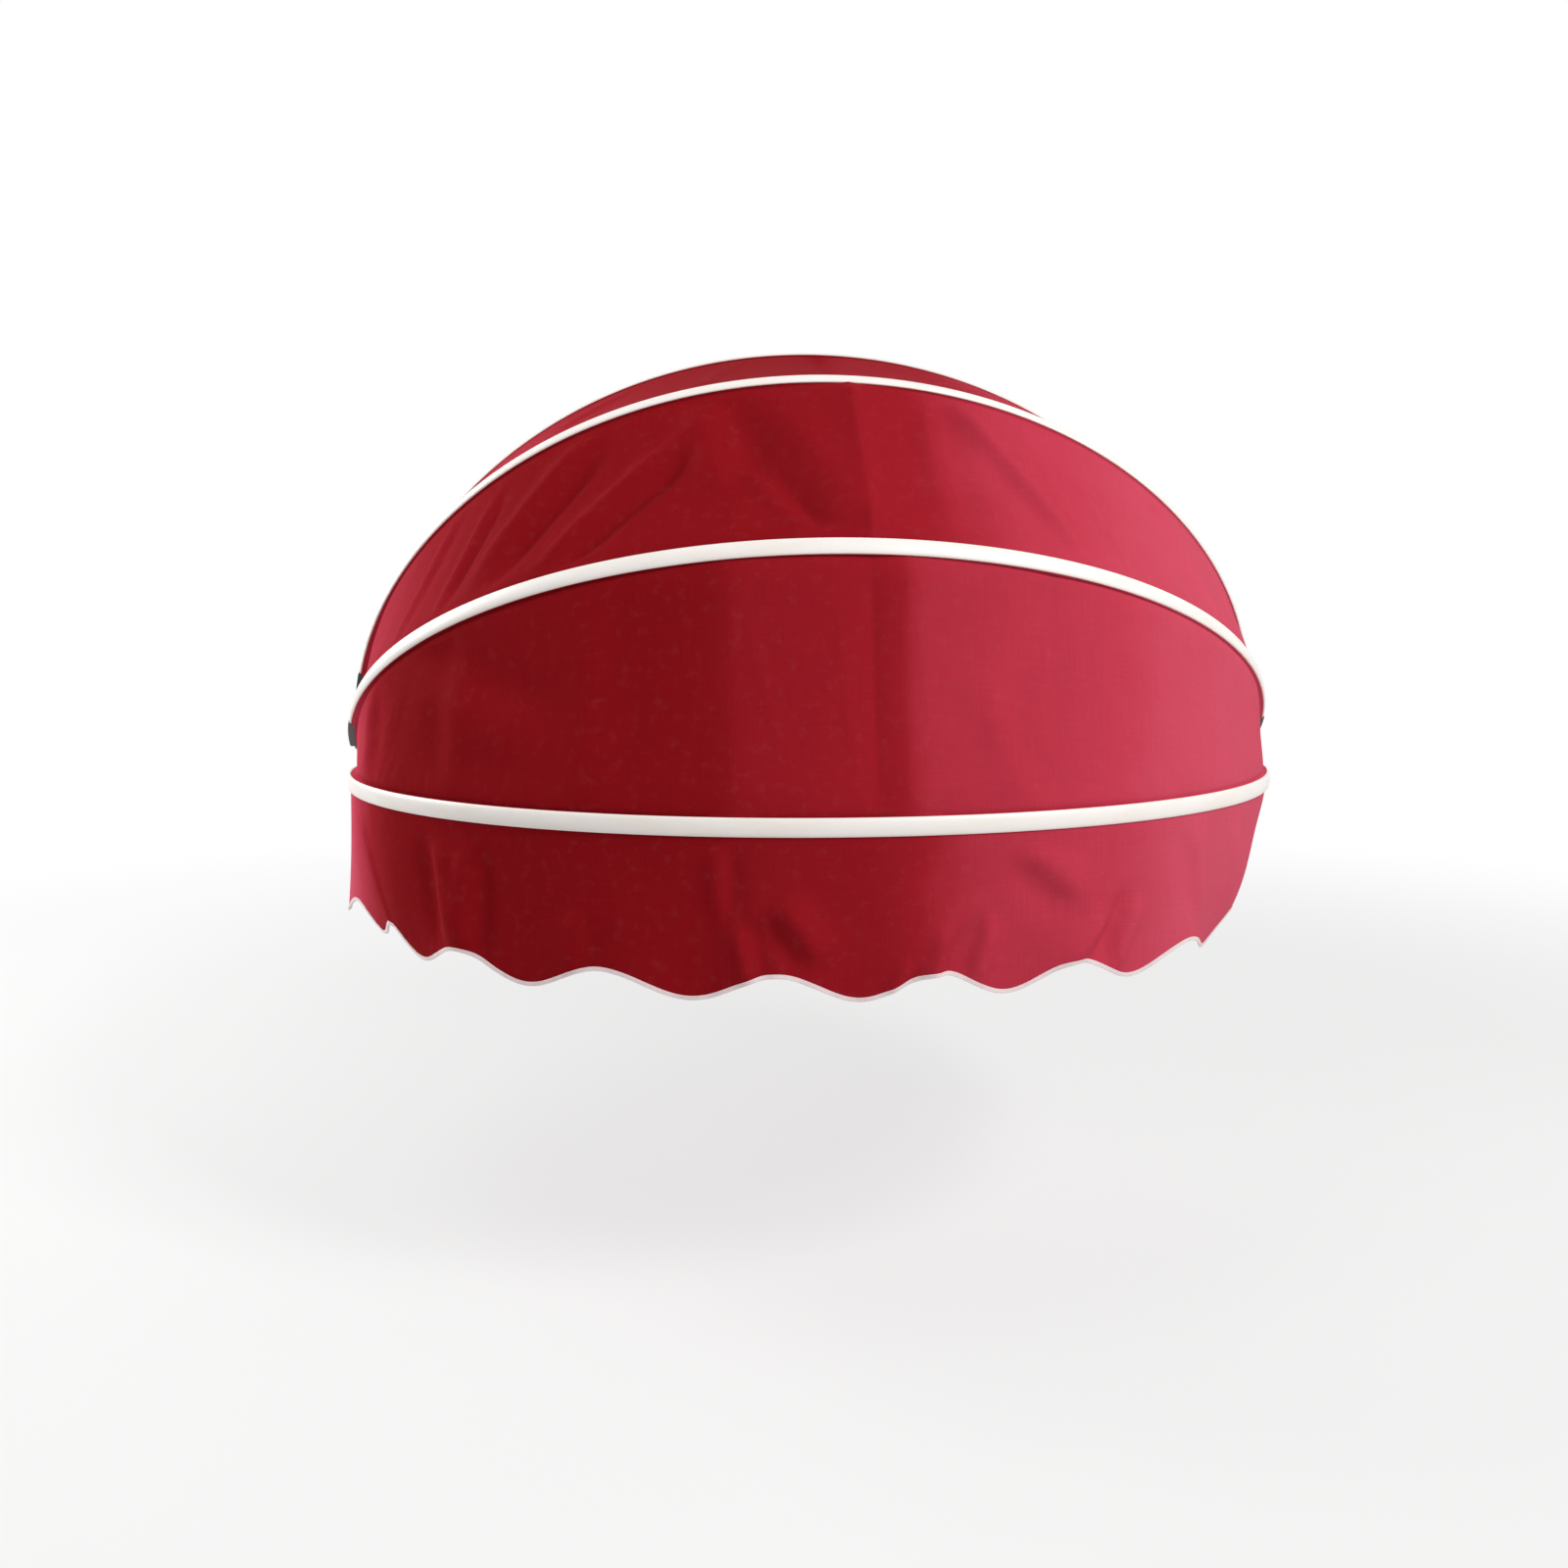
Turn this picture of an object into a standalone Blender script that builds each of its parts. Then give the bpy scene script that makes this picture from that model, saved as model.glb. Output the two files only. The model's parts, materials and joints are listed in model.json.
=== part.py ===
"""Dome awning: four hoops on one hinge axis carry a domed canopy with a scalloped valance.

The hoops fold up against the wall. X runs along the wall, the wall is the plane y = 0, the awning
stands out towards -Y and +Z is up. The origin is the middle of the back face of the crown clip.
All sizes are in metres.
"""

import math

import bmesh
import bpy
import numpy as np
from mathutils import Vector

# Canopy
HALF_SPAN = 0.738
HOOP_RISE = 0.635
WALL_HOOP_RISE = 0.651
FOLD_STEP = math.radians(30)
FABRIC_START = 0.045  # distance of the fabric's lower ends from the hinge axis
FABRIC_THICKNESS = 0.0012
FOLD_LINE = 0.0010  # fabric that lies flat beyond the cover strip before it bends away
VALANCE_DROP = 0.1985  # from the middle of the front hoop to the mean line of the scallops
SCALLOP_AMPLITUDE = 0.016
SCALLOP_PITCH = 0.210
BINDING_HEIGHT = 0.006
BINDING_THICKNESS = 0.0008

# Hoop profile, a channel with two lips, and its cover strip
PROFILE_WIDTH = 0.021
PROFILE_DEPTH = 0.0162
PROFILE_WALL = 0.0016
SLOT_WIDTH = 0.0096
STRIP_WIDTH = 0.024
STRIP_EDGE = 0.001
STRIP_DOME = 0.0040
STRIP_DOME_STEPS = 6
STEM_DEPTH = 0.0065
BARB_WIDTH = 0.0015

# Hinges: an ear, four tongues and their washers on one bolt at each side
NEST_GAP = 0.002  # between neighbouring cover strips when the awning is folded
WALL_GAP = 0.003  # between the wall and the wall hoop's cover strip
TONGUE_THICKNESS = 0.003
TONGUE_WIDTH = 0.020
TONGUE_ROOT = 0.004  # how far a tongue runs into the block of its end piece
EYE_RADIUS = 0.012
SPACER_THICKNESS = 0.001
SPACER_RADIUS = 0.009
PLUG_LENGTH = 0.030
BOLT_RADIUS = 0.004
BOLT_HEAD_FLATS = 0.013
BOLT_HEAD_HEIGHT = 0.0053
BOLT_THREAD_END = 0.0015  # thread that shows past the nut
NUT_HEIGHT = 0.0065
WASHER_RADIUS = 0.008
WASHER_THICKNESS = 0.0015
HOLE_CLEARANCE = 0.0003

# Wall brackets and clips
EAR_RADIUS = 0.016
EAR_DROP = 0.0039  # from the widest point of the canopy in to the ear's inner face
BRACKET_THICKNESS = 0.004
BRACKET_WIDTH = 0.042
BRACKET_TOP = 0.038
BRACKET_BOTTOM = 0.075
BRACKET_SCREW_INSET = 0.017
CLIP_WIDTH = 0.040
CLIP_HEIGHT = 0.022
CLIP_THICKNESS = 0.0025
CLIP_REACH = 0.024
CLIP_STATION = 4.5  # segments from the lower end of the wall hoop to a side clip
CLIP_SCREW_SPREAD = 0.026
CLIP_SCREW_DROP = 0.013

# Fasteners
SCREW_RADIUS = 0.0025
SCREW_HEAD_RADIUS = 0.005
SCREW_HEAD_HEIGHT = 0.0032
SOCKET_RADIUS = 0.0018
SOCKET_DEPTH = 0.0018
TAPPING_RADIUS = 0.0018
TAPPING_HEAD_RADIUS = 0.0035
TAPPING_HEAD_HEIGHT = 0.0022
TAPPING_LENGTH = 0.006  # screw tip past the clip
RIVET_RADIUS = 0.0020
RIVET_HEAD_RADIUS = 0.0040
RIVET_HEAD_HEIGHT = 0.0014
RIVET_GRIP = 0.0060

# Mesh density
SEGMENTS = 27
EDGE_STEPS = 3
ARC_SAMPLES = 4001
ROUND_SIDES = 12
EYE_SIDES = 16

# Gap that touching pieces keep, and how far a cutter overshoots
GAP = 0.0003
OVERSHOOT = 0.002

SIDES = {"left": -1, "right": 1}
HOOP_NAMES = ("wall_hoop", "upper_hoop", "middle_hoop", "front_hoop")

# Derived places
LID = FABRIC_THICKNESS + 2 * GAP  # from the strip's underside in to the profile's outer face
FLOOR = LID + PROFILE_DEPTH
NEST_PITCH = STRIP_WIDTH + NEST_GAP
MIDDLE_OF_NEST = (len(HOOP_NAMES) - 1) / 2
STEM_HALF = SLOT_WIDTH / 2 - GAP
HEM_INNER = SLOT_WIDTH / 2 + GAP
HEM_OUTER = STRIP_WIDTH / 2 + FOLD_LINE
WALL_FROM_AXIS = MIDDLE_OF_NEST * NEST_PITCH + STRIP_WIDTH / 2 + WALL_GAP
LAYER_PITCH = TONGUE_THICKNESS + SPACER_THICKNESS + 2 * GAP
EAR_INNER = HALF_SPAN - EAR_DROP
EAR_OUTER = EAR_INNER + BRACKET_THICKNESS
MIRROR = SEGMENTS  # station that stands for the far end of a hoop


class Hoop:
    """Half an ellipse in a plane parallel to the hinge axis, read by station along its arc."""

    def __init__(self, index, rise):
        angle = math.pi / 2 - index * FOLD_STEP
        self.name = HOOP_NAMES[index]
        self.index = index
        self.along = Vector((0, -math.cos(angle), math.sin(angle)))
        self.across = Vector((0, -math.sin(angle), -math.cos(angle)))
        self.offset = (index - MIDDLE_OF_NEST) * NEST_PITCH
        start = math.asin(FABRIC_START / rise)
        turn = np.linspace(start, math.pi - start, ARC_SAMPLES)
        x = -HALF_SPAN * np.cos(turn)
        radius = rise * np.sin(turn)
        arc = np.concatenate([[0], np.cumsum(np.hypot(np.diff(x), np.diff(radius)))])
        self.segment = arc[-1] / SEGMENTS
        turn = np.interp(np.linspace(0, arc[-1], SEGMENTS + 1), arc, turn)
        normal = np.array([-np.cos(turn) / HALF_SPAN, np.sin(turn) / rise])
        normal /= np.hypot(*normal)
        self.rows = (-HALF_SPAN * np.cos(turn), rise * np.sin(turn), normal[0], normal[1])

    def point(self, station, out, across):
        """A point at a station: out from the strip's underside, across towards the next hoop."""
        stations = np.arange(SEGMENTS + 1)
        x, radius, out_x, out_radius = (np.interp(station, stations, row) for row in self.rows)
        flat = self.along * float(radius + out * out_radius) + self.across * (self.offset + across)
        return Vector((float(x + out * out_x), 0, 0)) + flat

    def ring(self, station, section):
        """The section's points, given as (across, out), at one station."""
        return [self.point(station, out, across) for across, out in section]

    def arc_at(self, station):
        """Distance along the hoop from its crown."""
        return (station - SEGMENTS / 2) * self.segment


def material(name, colour, roughness, metallic=0.0):
    """A Principled material of one plain colour."""
    made = bpy.data.materials.new(name)
    made.use_nodes = True
    shader = made.node_tree.nodes["Principled BSDF"]
    shader.inputs["Base Color"].default_value = (*colour, 1)
    shader.inputs["Roughness"].default_value = roughness
    shader.inputs["Metallic"].default_value = metallic
    made.diffuse_color = (*colour, 1)
    return made


def add_object(name, mesh_builder, finish, carrier):
    """Makes a named object from a bmesh, with its faces outward, on the empty that carries it."""
    bmesh.ops.recalc_face_normals(mesh_builder, faces=mesh_builder.faces)
    mesh = bpy.data.meshes.new(name)
    mesh_builder.to_mesh(mesh)
    mesh_builder.free()
    mesh.shade_smooth()
    mesh.set_sharp_from_angle(angle=math.radians(35))
    made = bpy.data.objects.new(name, mesh)
    bpy.context.collection.objects.link(made)
    made.parent = carrier
    if finish:
        mesh.materials.append(finish)
    return made


def lofted(name, rings, finish, carrier, closed=False):
    """A solid through rings of equally many points, capped at its ends or closed on itself."""
    builder = bmesh.new()
    rows = [[builder.verts.new(point) for point in ring] for ring in rings]
    pairs = list(zip(rows, rows[1:] + rows[:1])) if closed else list(zip(rows, rows[1:]))
    for near, far in pairs:
        for step in range(len(near)):
            after = (step + 1) % len(near)
            builder.faces.new((near[step], near[after], far[after], far[step]))
    if not closed:
        builder.faces.new(rows[0])
        builder.faces.new(rows[-1])
    return add_object(name, builder, finish, carrier)


def hull(name, points, finish, carrier):
    """The convex solid round the points."""
    builder = bmesh.new()
    corners = [builder.verts.new(point) for point in points]
    bmesh.ops.convex_hull(builder, input=corners)
    bmesh.ops.dissolve_limit(
        builder, angle_limit=math.radians(0.5), verts=builder.verts, edges=builder.edges
    )
    return add_object(name, builder, finish, carrier)


def turned_ring(centre, axis, height, radius, kind="round", sides=ROUND_SIDES):
    """Points round an axis, on a circle or on a hexagon of which radius is half the flats."""
    side = axis.cross(Vector((0, 0, 1)) if abs(axis.z) < 0.9 else Vector((0, 1, 0))).normalized()
    up = axis.cross(side)
    points = []
    for step in range(sides):
        turn = 2 * math.pi * step / sides
        sixth = math.pi / 3
        reach = radius / math.cos(turn % sixth - sixth / 2) if kind == "hex" else radius
        points.append(centre + axis * height + (side * math.cos(turn) + up * math.sin(turn)) * reach)
    return points


def turned(name, centre, axis, sections, finish, carrier, closed=False):
    """A turned solid whose sections are (height, radius) or (height, radius, kind)."""
    rings = [turned_ring(centre, axis, *section) for section in sections]
    return lofted(name, rings, finish, carrier, closed)


def boolean(target, tool, operation):
    """Joins, cuts or intersects the target with a hidden tool."""
    step = target.modifiers.new(operation.lower(), "BOOLEAN")
    step.object = tool
    step.operation = operation
    step.solver = "EXACT"
    tool.hide_render = True
    tool.display_type = "WIRE"


def drill(targets, name, centre, axis, reach, radius, sides=ROUND_SIDES):
    """Cuts one round hole through every target, from the centre to both sides along the axis."""
    rings = [turned_ring(centre, axis, height, radius, sides=sides) for height in (-reach, reach)]
    cutter = lofted(name + "_cutter", rings, None, targets[0].parent)
    for target in targets:
        boolean(target, cutter, "DIFFERENCE")


def channel_section():
    """The aluminium profile: a floor, two walls and two lips beside the slot."""
    wall = PROFILE_WIDTH / 2
    inside = wall - PROFILE_WALL
    slot = SLOT_WIDTH / 2
    half = [
        (wall, -FLOOR),
        (wall, -LID),
        (slot, -LID),
        (slot, -LID - PROFILE_WALL),
        (inside, -LID - PROFILE_WALL),
        (inside, -FLOOR + PROFILE_WALL),
    ]
    return half + [(-across, out) for across, out in reversed(half)]


def strip_section():
    """The cover strip: a dome over the slot and a barbed stem in it."""
    rim = STRIP_WIDTH / 2
    barb = -LID - PROFILE_WALL - GAP
    half = [
        (rim, 0),
        (STEM_HALF, 0),
        (STEM_HALF, barb),
        (STEM_HALF + BARB_WIDTH, barb),
        (STEM_HALF, -STEM_DEPTH),
    ]
    dome = []
    for step in range(STRIP_DOME_STEPS + 1):
        turn = math.pi * (1 - step / STRIP_DOME_STEPS)
        dome.append((rim * math.cos(turn), STRIP_EDGE + STRIP_DOME * math.sin(turn)))
    return dome + half + [(-across, out) for across, out in reversed(half)]


def block_section(half_width, top, bottom):
    """A plain rectangle across a hoop."""
    return [(-half_width, top), (half_width, top), (half_width, bottom), (-half_width, bottom)]


def layer_outer(index):
    """Distance from the middle plane to the outer face of a hoop's tongue."""
    return EAR_INNER - GAP - index * LAYER_PITCH


def build_hoop(hoop, finishes, carrier):
    """The profile and the cover strip of one hoop, between its two end pieces."""
    stations = range(1, SEGMENTS)
    profile_rings = [hoop.ring(station, channel_section()) for station in stations]
    strip_rings = [hoop.ring(station, strip_section()) for station in stations]
    profile = lofted(hoop.name + "_profile", profile_rings, finishes["aluminium"], carrier)
    lofted(hoop.name + "_cover_strip", strip_rings, finishes["strip"], carrier)
    return profile


def build_end(hoop, side, profile, finishes, carrier):
    """The nylon end piece: a block, a plug in the profile, and a tongue with an eye."""
    sign = SIDES[side]
    name = f"{hoop.name}_end_{side}"

    def station(steps):
        return steps if sign < 0 else MIRROR - steps

    block = block_section(PROFILE_WIDTH / 2, -LID, -FLOOR)
    inside = PROFILE_WIDTH / 2 - PROFILE_WALL - GAP
    plug = block_section(inside, -STEM_DEPTH - GAP, -FLOOR + PROFILE_WALL + GAP)
    seat = 1 - GAP / hoop.segment
    plug_end = 1 + PLUG_LENGTH / hoop.segment
    rings = [hoop.ring(station(0), block), hoop.ring(station(seat), block)]
    rings += [hoop.ring(station(seat), plug), hoop.ring(station(plug_end), plug)]
    end = lofted(name, rings, finishes["nylon"], carrier)

    outer = layer_outer(hoop.index)
    points = []
    for x in (outer, outer - TONGUE_THICKNESS):
        centre = Vector((sign * x, 0, 0))
        points += turned_ring(centre, Vector((1, 0, 0)), 0, EYE_RADIUS, sides=EYE_SIDES)
        for across in (-TONGUE_WIDTH / 2, TONGUE_WIDTH / 2):
            root = hoop.along * (FABRIC_START + TONGUE_ROOT) + hoop.across * (hoop.offset + across)
            points.append(centre + root)
    tongue = hull(name + "_tongue", points, None, carrier)
    boolean(end, tongue, "UNION")
    eye = Vector((sign * (outer - TONGUE_THICKNESS / 2), 0, 0))
    hole = BOLT_RADIUS + HOLE_CLEARANCE
    drill([end], name + "_eye", eye, Vector((1, 0, 0)), TONGUE_THICKNESS, hole, EYE_SIDES)
    build_rivet(hoop, side, station(1 + PLUG_LENGTH / 2 / hoop.segment), profile, end, finishes)


def outward(hoop, station):
    """Unit direction from a hoop's profile out to its cover strip."""
    return (hoop.point(station, 1, 0) - hoop.point(station, 0, 0)).normalized()


def build_rivet(hoop, side, station, profile, end, finishes):
    """A rivet through the profile's floor into the plug of the end piece."""
    name = f"{hoop.name}_rivet_{side}"
    seat = hoop.point(station, -FLOOR, 0)
    axis = outward(hoop, station)
    drill([profile, end], name, seat, axis, RIVET_GRIP + GAP, RIVET_RADIUS + HOLE_CLEARANCE)
    head = -GAP - RIVET_HEAD_HEIGHT
    sections = [
        (head, RIVET_HEAD_RADIUS / 2),
        (head / 2 - GAP / 2, RIVET_HEAD_RADIUS * 0.85),
        (-GAP, RIVET_HEAD_RADIUS),
        (-GAP, RIVET_RADIUS),
        (RIVET_GRIP, RIVET_RADIUS),
    ]
    turned(name, seat, axis, sections, finishes["steel"], end.parent)


def build_gore(name, above, below, finishes, carrier):
    """A panel of the canopy, stretched from one hoop to the next with its hems under the strips."""
    rings = []
    for station in range(SEGMENTS + 1):
        top = [above.point(station, -GAP, HEM_INNER), above.point(station, -GAP, HEM_OUTER)]
        top += [below.point(station, -GAP, -HEM_OUTER), below.point(station, -GAP, -HEM_INNER)]
        under = -GAP - FABRIC_THICKNESS
        low = [below.point(station, under, -HEM_INNER), below.point(station, under, -HEM_OUTER)]
        low += [above.point(station, under, HEM_OUTER), above.point(station, under, HEM_INNER)]
        rings.append(top + low)
    return lofted(name, rings, finishes["fabric"], carrier)


def scallop_edge(hoop, station):
    """How far below the middle of the front hoop the valance ends at a station."""
    wave = math.cos(2 * math.pi * hoop.arc_at(station) / SCALLOP_PITCH)
    return VALANCE_DROP + SCALLOP_AMPLITUDE * wave


def build_valance(hoop, finishes, carrier):
    """The hanging border and the binding that is folded over its scalloped edge."""
    face = -GAP
    back = -GAP - FABRIC_THICKNESS
    thick = BINDING_THICKNESS
    cloth = []
    binding = []
    for step in range(SEGMENTS * EDGE_STEPS + 1):
        station = step / EDGE_STEPS
        edge = scallop_edge(hoop, station)
        cloth.append(
            hoop.ring(station, [(HEM_INNER, face), (edge, face), (edge, back), (HEM_INNER, back)])
        )
        top = edge - BINDING_HEIGHT
        outer = [(top, face + GAP + thick), (edge + GAP + thick, face + GAP + thick)]
        outer += [(edge + GAP + thick, back - GAP - thick), (top, back - GAP - thick)]
        inner = [(top, back - GAP), (edge + GAP, back - GAP)]
        inner += [(edge + GAP, face + GAP), (top, face + GAP)]
        binding.append(hoop.ring(station, outer + inner))
    lofted("valance", cloth, finishes["fabric"], carrier)
    lofted("valance_binding", binding, finishes["binding"], carrier)


def build_bracket(side, finishes, carrier):
    """The wall bracket: a bent plate whose ear carries the hinge bolt, with two wall screws."""
    sign = SIDES[side]
    name = f"wall_bracket_{side}"
    wall = WALL_FROM_AXIS
    plate = wall - BRACKET_THICKNESS
    inner = EAR_OUTER - BRACKET_WIDTH
    outline = [(EAR_OUTER, wall), (inner, wall), (inner, plate)]
    outline += [(EAR_INNER, plate), (EAR_INNER, -EAR_RADIUS), (EAR_OUTER, -EAR_RADIUS)]
    heights = (-BRACKET_BOTTOM - OVERSHOOT, BRACKET_TOP + OVERSHOOT)
    rings = [[Vector((sign * x, y, z)) for x, y in outline] for z in heights]
    bracket = lofted(name, rings, finishes["powder_coat"], carrier)

    points = []
    for x in (EAR_OUTER + OVERSHOOT, inner - OVERSHOOT):
        centre = Vector((sign * x, 0, 0))
        points += turned_ring(centre, Vector((1, 0, 0)), 0, EAR_RADIUS, sides=EYE_SIDES)
        for z in (-BRACKET_BOTTOM, BRACKET_TOP):
            points += [centre + Vector((0, plate, z)), centre + Vector((0, wall + OVERSHOOT, z))]
    boolean(bracket, hull(name + "_outline", points, None, carrier), "INTERSECT")
    centre = Vector((sign * (EAR_INNER + EAR_OUTER) / 2, 0, 0))
    hole = BOLT_RADIUS + HOLE_CLEARANCE
    drill([bracket], name, centre, Vector((1, 0, 0)), BRACKET_THICKNESS, hole, EYE_SIDES)

    middle = sign * (EAR_INNER + inner) / 2
    heights = (BRACKET_TOP - BRACKET_SCREW_INSET, BRACKET_SCREW_INSET - BRACKET_BOTTOM)
    for label, z in zip(("upper", "lower"), heights):
        seat = Vector((middle, plate, z))
        screw = f"bracket_screw_{label}_{side}"
        build_screw(screw, seat, Vector((0, 1, 0)), BRACKET_THICKNESS, bracket, finishes, carrier)


def build_screw(name, seat, axis, grip, target, finishes, carrier):
    """A socket head wall screw, cut off where the wall begins, in its own hole."""
    drill([target], name, seat, axis, grip + OVERSHOOT, SCREW_RADIUS + HOLE_CLEARANCE)
    top = -GAP - SCREW_HEAD_HEIGHT
    sections = [
        (top + SOCKET_DEPTH, SOCKET_RADIUS, "hex"),
        (top, SOCKET_RADIUS, "hex"),
        (top, SCREW_HEAD_RADIUS * 0.7),
        (top + SCREW_HEAD_HEIGHT / 3, SCREW_HEAD_RADIUS * 0.93),
        (-GAP, SCREW_HEAD_RADIUS),
        (-GAP, SCREW_RADIUS),
        (grip, SCREW_RADIUS),
    ]
    turned(name, seat, axis, sections, finishes["steel"], carrier)


def build_hinge(side, finishes, carrier):
    """The hinge bolt, its nut, the washer under the nut and the spacers between the tongues."""
    inward = Vector((-SIDES[side], 0, 0))
    ear = Vector((SIDES[side] * EAR_OUTER, 0, 0))
    hole = BOLT_RADIUS + HOLE_CLEARANCE
    flats = BOLT_HEAD_FLATS / 2

    def washer(name, start, radius, thickness, finish):
        stop = start + thickness
        sections = [(start, hole), (start, radius), (stop, radius), (stop, hole)]
        turned(name, ear, inward, sections, finish, carrier, closed=True)

    first = BRACKET_THICKNESS + GAP
    last = len(HOOP_NAMES) - 1
    for index in range(last):
        start = first + index * LAYER_PITCH + TONGUE_THICKNESS + GAP
        name = f"spacer_{index + 1}_{side}"
        washer(name, start, SPACER_RADIUS, SPACER_THICKNESS, finishes["nylon_washer"])
    end = first + last * LAYER_PITCH + TONGUE_THICKNESS + GAP
    washer(f"hinge_washer_{side}", end, WASHER_RADIUS, WASHER_THICKNESS, finishes["steel"])

    nut = end + WASHER_THICKNESS + GAP
    stop = nut + NUT_HEIGHT
    chamfer = NUT_HEIGHT / 6
    sections = [
        (nut, hole),
        (nut, flats * 0.98),
        (nut + chamfer, flats, "hex"),
        (stop - chamfer, flats, "hex"),
        (stop, flats * 0.9),
        (stop, hole),
    ]
    turned(f"hinge_nut_{side}", ear, inward, sections, finishes["steel"], carrier, closed=True)

    head = -GAP - BOLT_HEAD_HEIGHT
    sections = [
        (head, flats * 0.95),
        (head + BOLT_HEAD_HEIGHT / 6, flats, "hex"),
        (-GAP, flats, "hex"),
        (-GAP, BOLT_RADIUS),
        (stop + BOLT_THREAD_END, BOLT_RADIUS),
    ]
    turned(f"hinge_bolt_{side}", ear, inward, sections, finishes["steel"], carrier)


def clip_frame(hoop, station):
    """Place and directions of a clip: along the hoop, out of it, and across it."""
    along = hoop.point(math.ceil(station), 0, 0) - hoop.point(math.floor(station), 0, 0)
    return hoop.point(station, -FLOOR - GAP, 0), along.normalized(), outward(hoop, station)


def build_clip(label, hoop, station, profile, finishes, carrier):
    """An angle clip that holds the wall hoop: one leg on the wall, one under the profile."""
    name = f"wall_clip_{label}"
    seat, along, out = clip_frame(hoop, station)
    to_wall = WALL_FROM_AXIS - seat.y

    def place(sideways, rise, depth):
        return seat + along * sideways + out * rise + Vector((0, to_wall - depth, 0))

    outline = [(0, 0), (0, CLIP_REACH), (-CLIP_THICKNESS, CLIP_REACH)]
    outline += [(-CLIP_THICKNESS, CLIP_THICKNESS)]
    outline += [(-CLIP_HEIGHT, CLIP_THICKNESS), (-CLIP_HEIGHT, 0)]
    ends = (-CLIP_WIDTH / 2, CLIP_WIDTH / 2)
    rings = [[place(sideways, rise, depth) for rise, depth in outline] for sideways in ends]
    clip = lofted(name, rings, finishes["powder_coat"], carrier)
    for half, sideways in zip("ab", (-CLIP_SCREW_SPREAD / 2, CLIP_SCREW_SPREAD / 2)):
        hold = place(sideways, -CLIP_SCREW_DROP, CLIP_THICKNESS)
        screw = f"clip_screw_{label}_{half}"
        build_screw(screw, hold, Vector((0, 1, 0)), CLIP_THICKNESS, clip, finishes, carrier)

    middle = place(0, -CLIP_THICKNESS, to_wall)
    reach = CLIP_THICKNESS + GAP + TAPPING_LENGTH
    screw = f"profile_screw_{label}"
    hole = TAPPING_RADIUS + HOLE_CLEARANCE
    drill([clip, profile], screw, middle, out, reach, hole)
    sections = [
        (-GAP - TAPPING_HEAD_HEIGHT, TAPPING_HEAD_RADIUS * 0.7),
        (-GAP - TAPPING_HEAD_HEIGHT / 2, TAPPING_HEAD_RADIUS * 0.95),
        (-GAP, TAPPING_HEAD_RADIUS),
        (-GAP, TAPPING_RADIUS),
        (reach - GAP, TAPPING_RADIUS),
    ]
    turned(screw, middle, out, sections, finishes["steel"], carrier)


def add_carrier(name, parent, location):
    """An empty on the hinge axis that carries the pieces of one body."""
    carrier = bpy.data.objects.new(name, None)
    bpy.context.collection.objects.link(carrier)
    carrier.parent = parent
    carrier.location = location
    return carrier


def main():
    for old in list(bpy.data.objects):
        bpy.data.objects.remove(old)

    finishes = {
        "fabric": material("red_canvas", (0.31, 0.022, 0.040), 0.85),
        "strip": material("white_pvc", (0.86, 0.80, 0.77), 0.45),
        "binding": material("pink_white_binding", (0.80, 0.62, 0.62), 0.80),
        "aluminium": material("anodised_aluminium", (0.55, 0.56, 0.57), 0.35, 1.0),
        "nylon": material("black_nylon", (0.018, 0.013, 0.012), 0.50),
        "nylon_washer": material("white_nylon", (0.75, 0.75, 0.72), 0.50),
        "powder_coat": material("white_powder_coat", (0.82, 0.80, 0.78), 0.40),
        "steel": material("zinc_plated_steel", (0.60, 0.60, 0.58), 0.30, 1.0),
    }
    rises = [WALL_HOOP_RISE] + [HOOP_RISE] * (len(HOOP_NAMES) - 1)
    hoops = [Hoop(index, rise) for index, rise in enumerate(rises)]

    # The origin is the middle of the crown clip's back face, so the axis hangs below it
    seat, _, _ = clip_frame(hoops[0], SEGMENTS / 2)
    axis = Vector((0, -WALL_FROM_AXIS, CLIP_HEIGHT / 2 - seat.z))
    carriers = [add_carrier("wall_hinge_axis", None, axis)]
    for name in HOOP_NAMES[1:]:
        carriers.append(add_carrier(name + "_axis", carriers[-1], (0, 0, 0)))

    profiles = []
    for hoop, carrier in zip(hoops, carriers):
        profile = build_hoop(hoop, finishes, carrier)
        profiles.append(profile)
        for side in SIDES:
            build_end(hoop, side, profile, finishes, carrier)
    names = ("gore_upper", "gore_middle", "gore_lower")
    for name, above, below, carrier in zip(names, hoops, hoops[1:], carriers):
        build_gore(name, above, below, finishes, carrier)
    build_valance(hoops[-1], finishes, carriers[-1])

    for side in SIDES:
        build_bracket(side, finishes, carriers[0])
        build_hinge(side, finishes, carriers[0])
    places = {"left": CLIP_STATION, "crown": SEGMENTS / 2, "right": SEGMENTS - CLIP_STATION}
    for label, station in places.items():
        build_clip(label, hoops[0], station, profiles[0], finishes, carriers[0])


main()
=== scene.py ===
"""Looks of a folding dome awning: cloth, cover strips, profiles, fittings and a plain studio.

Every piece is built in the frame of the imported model, in metres. The hoops hinge on one axis
along X, the wall is the plane y = 0, and the awning stands out towards -Y.
"""

import json
import math

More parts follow.
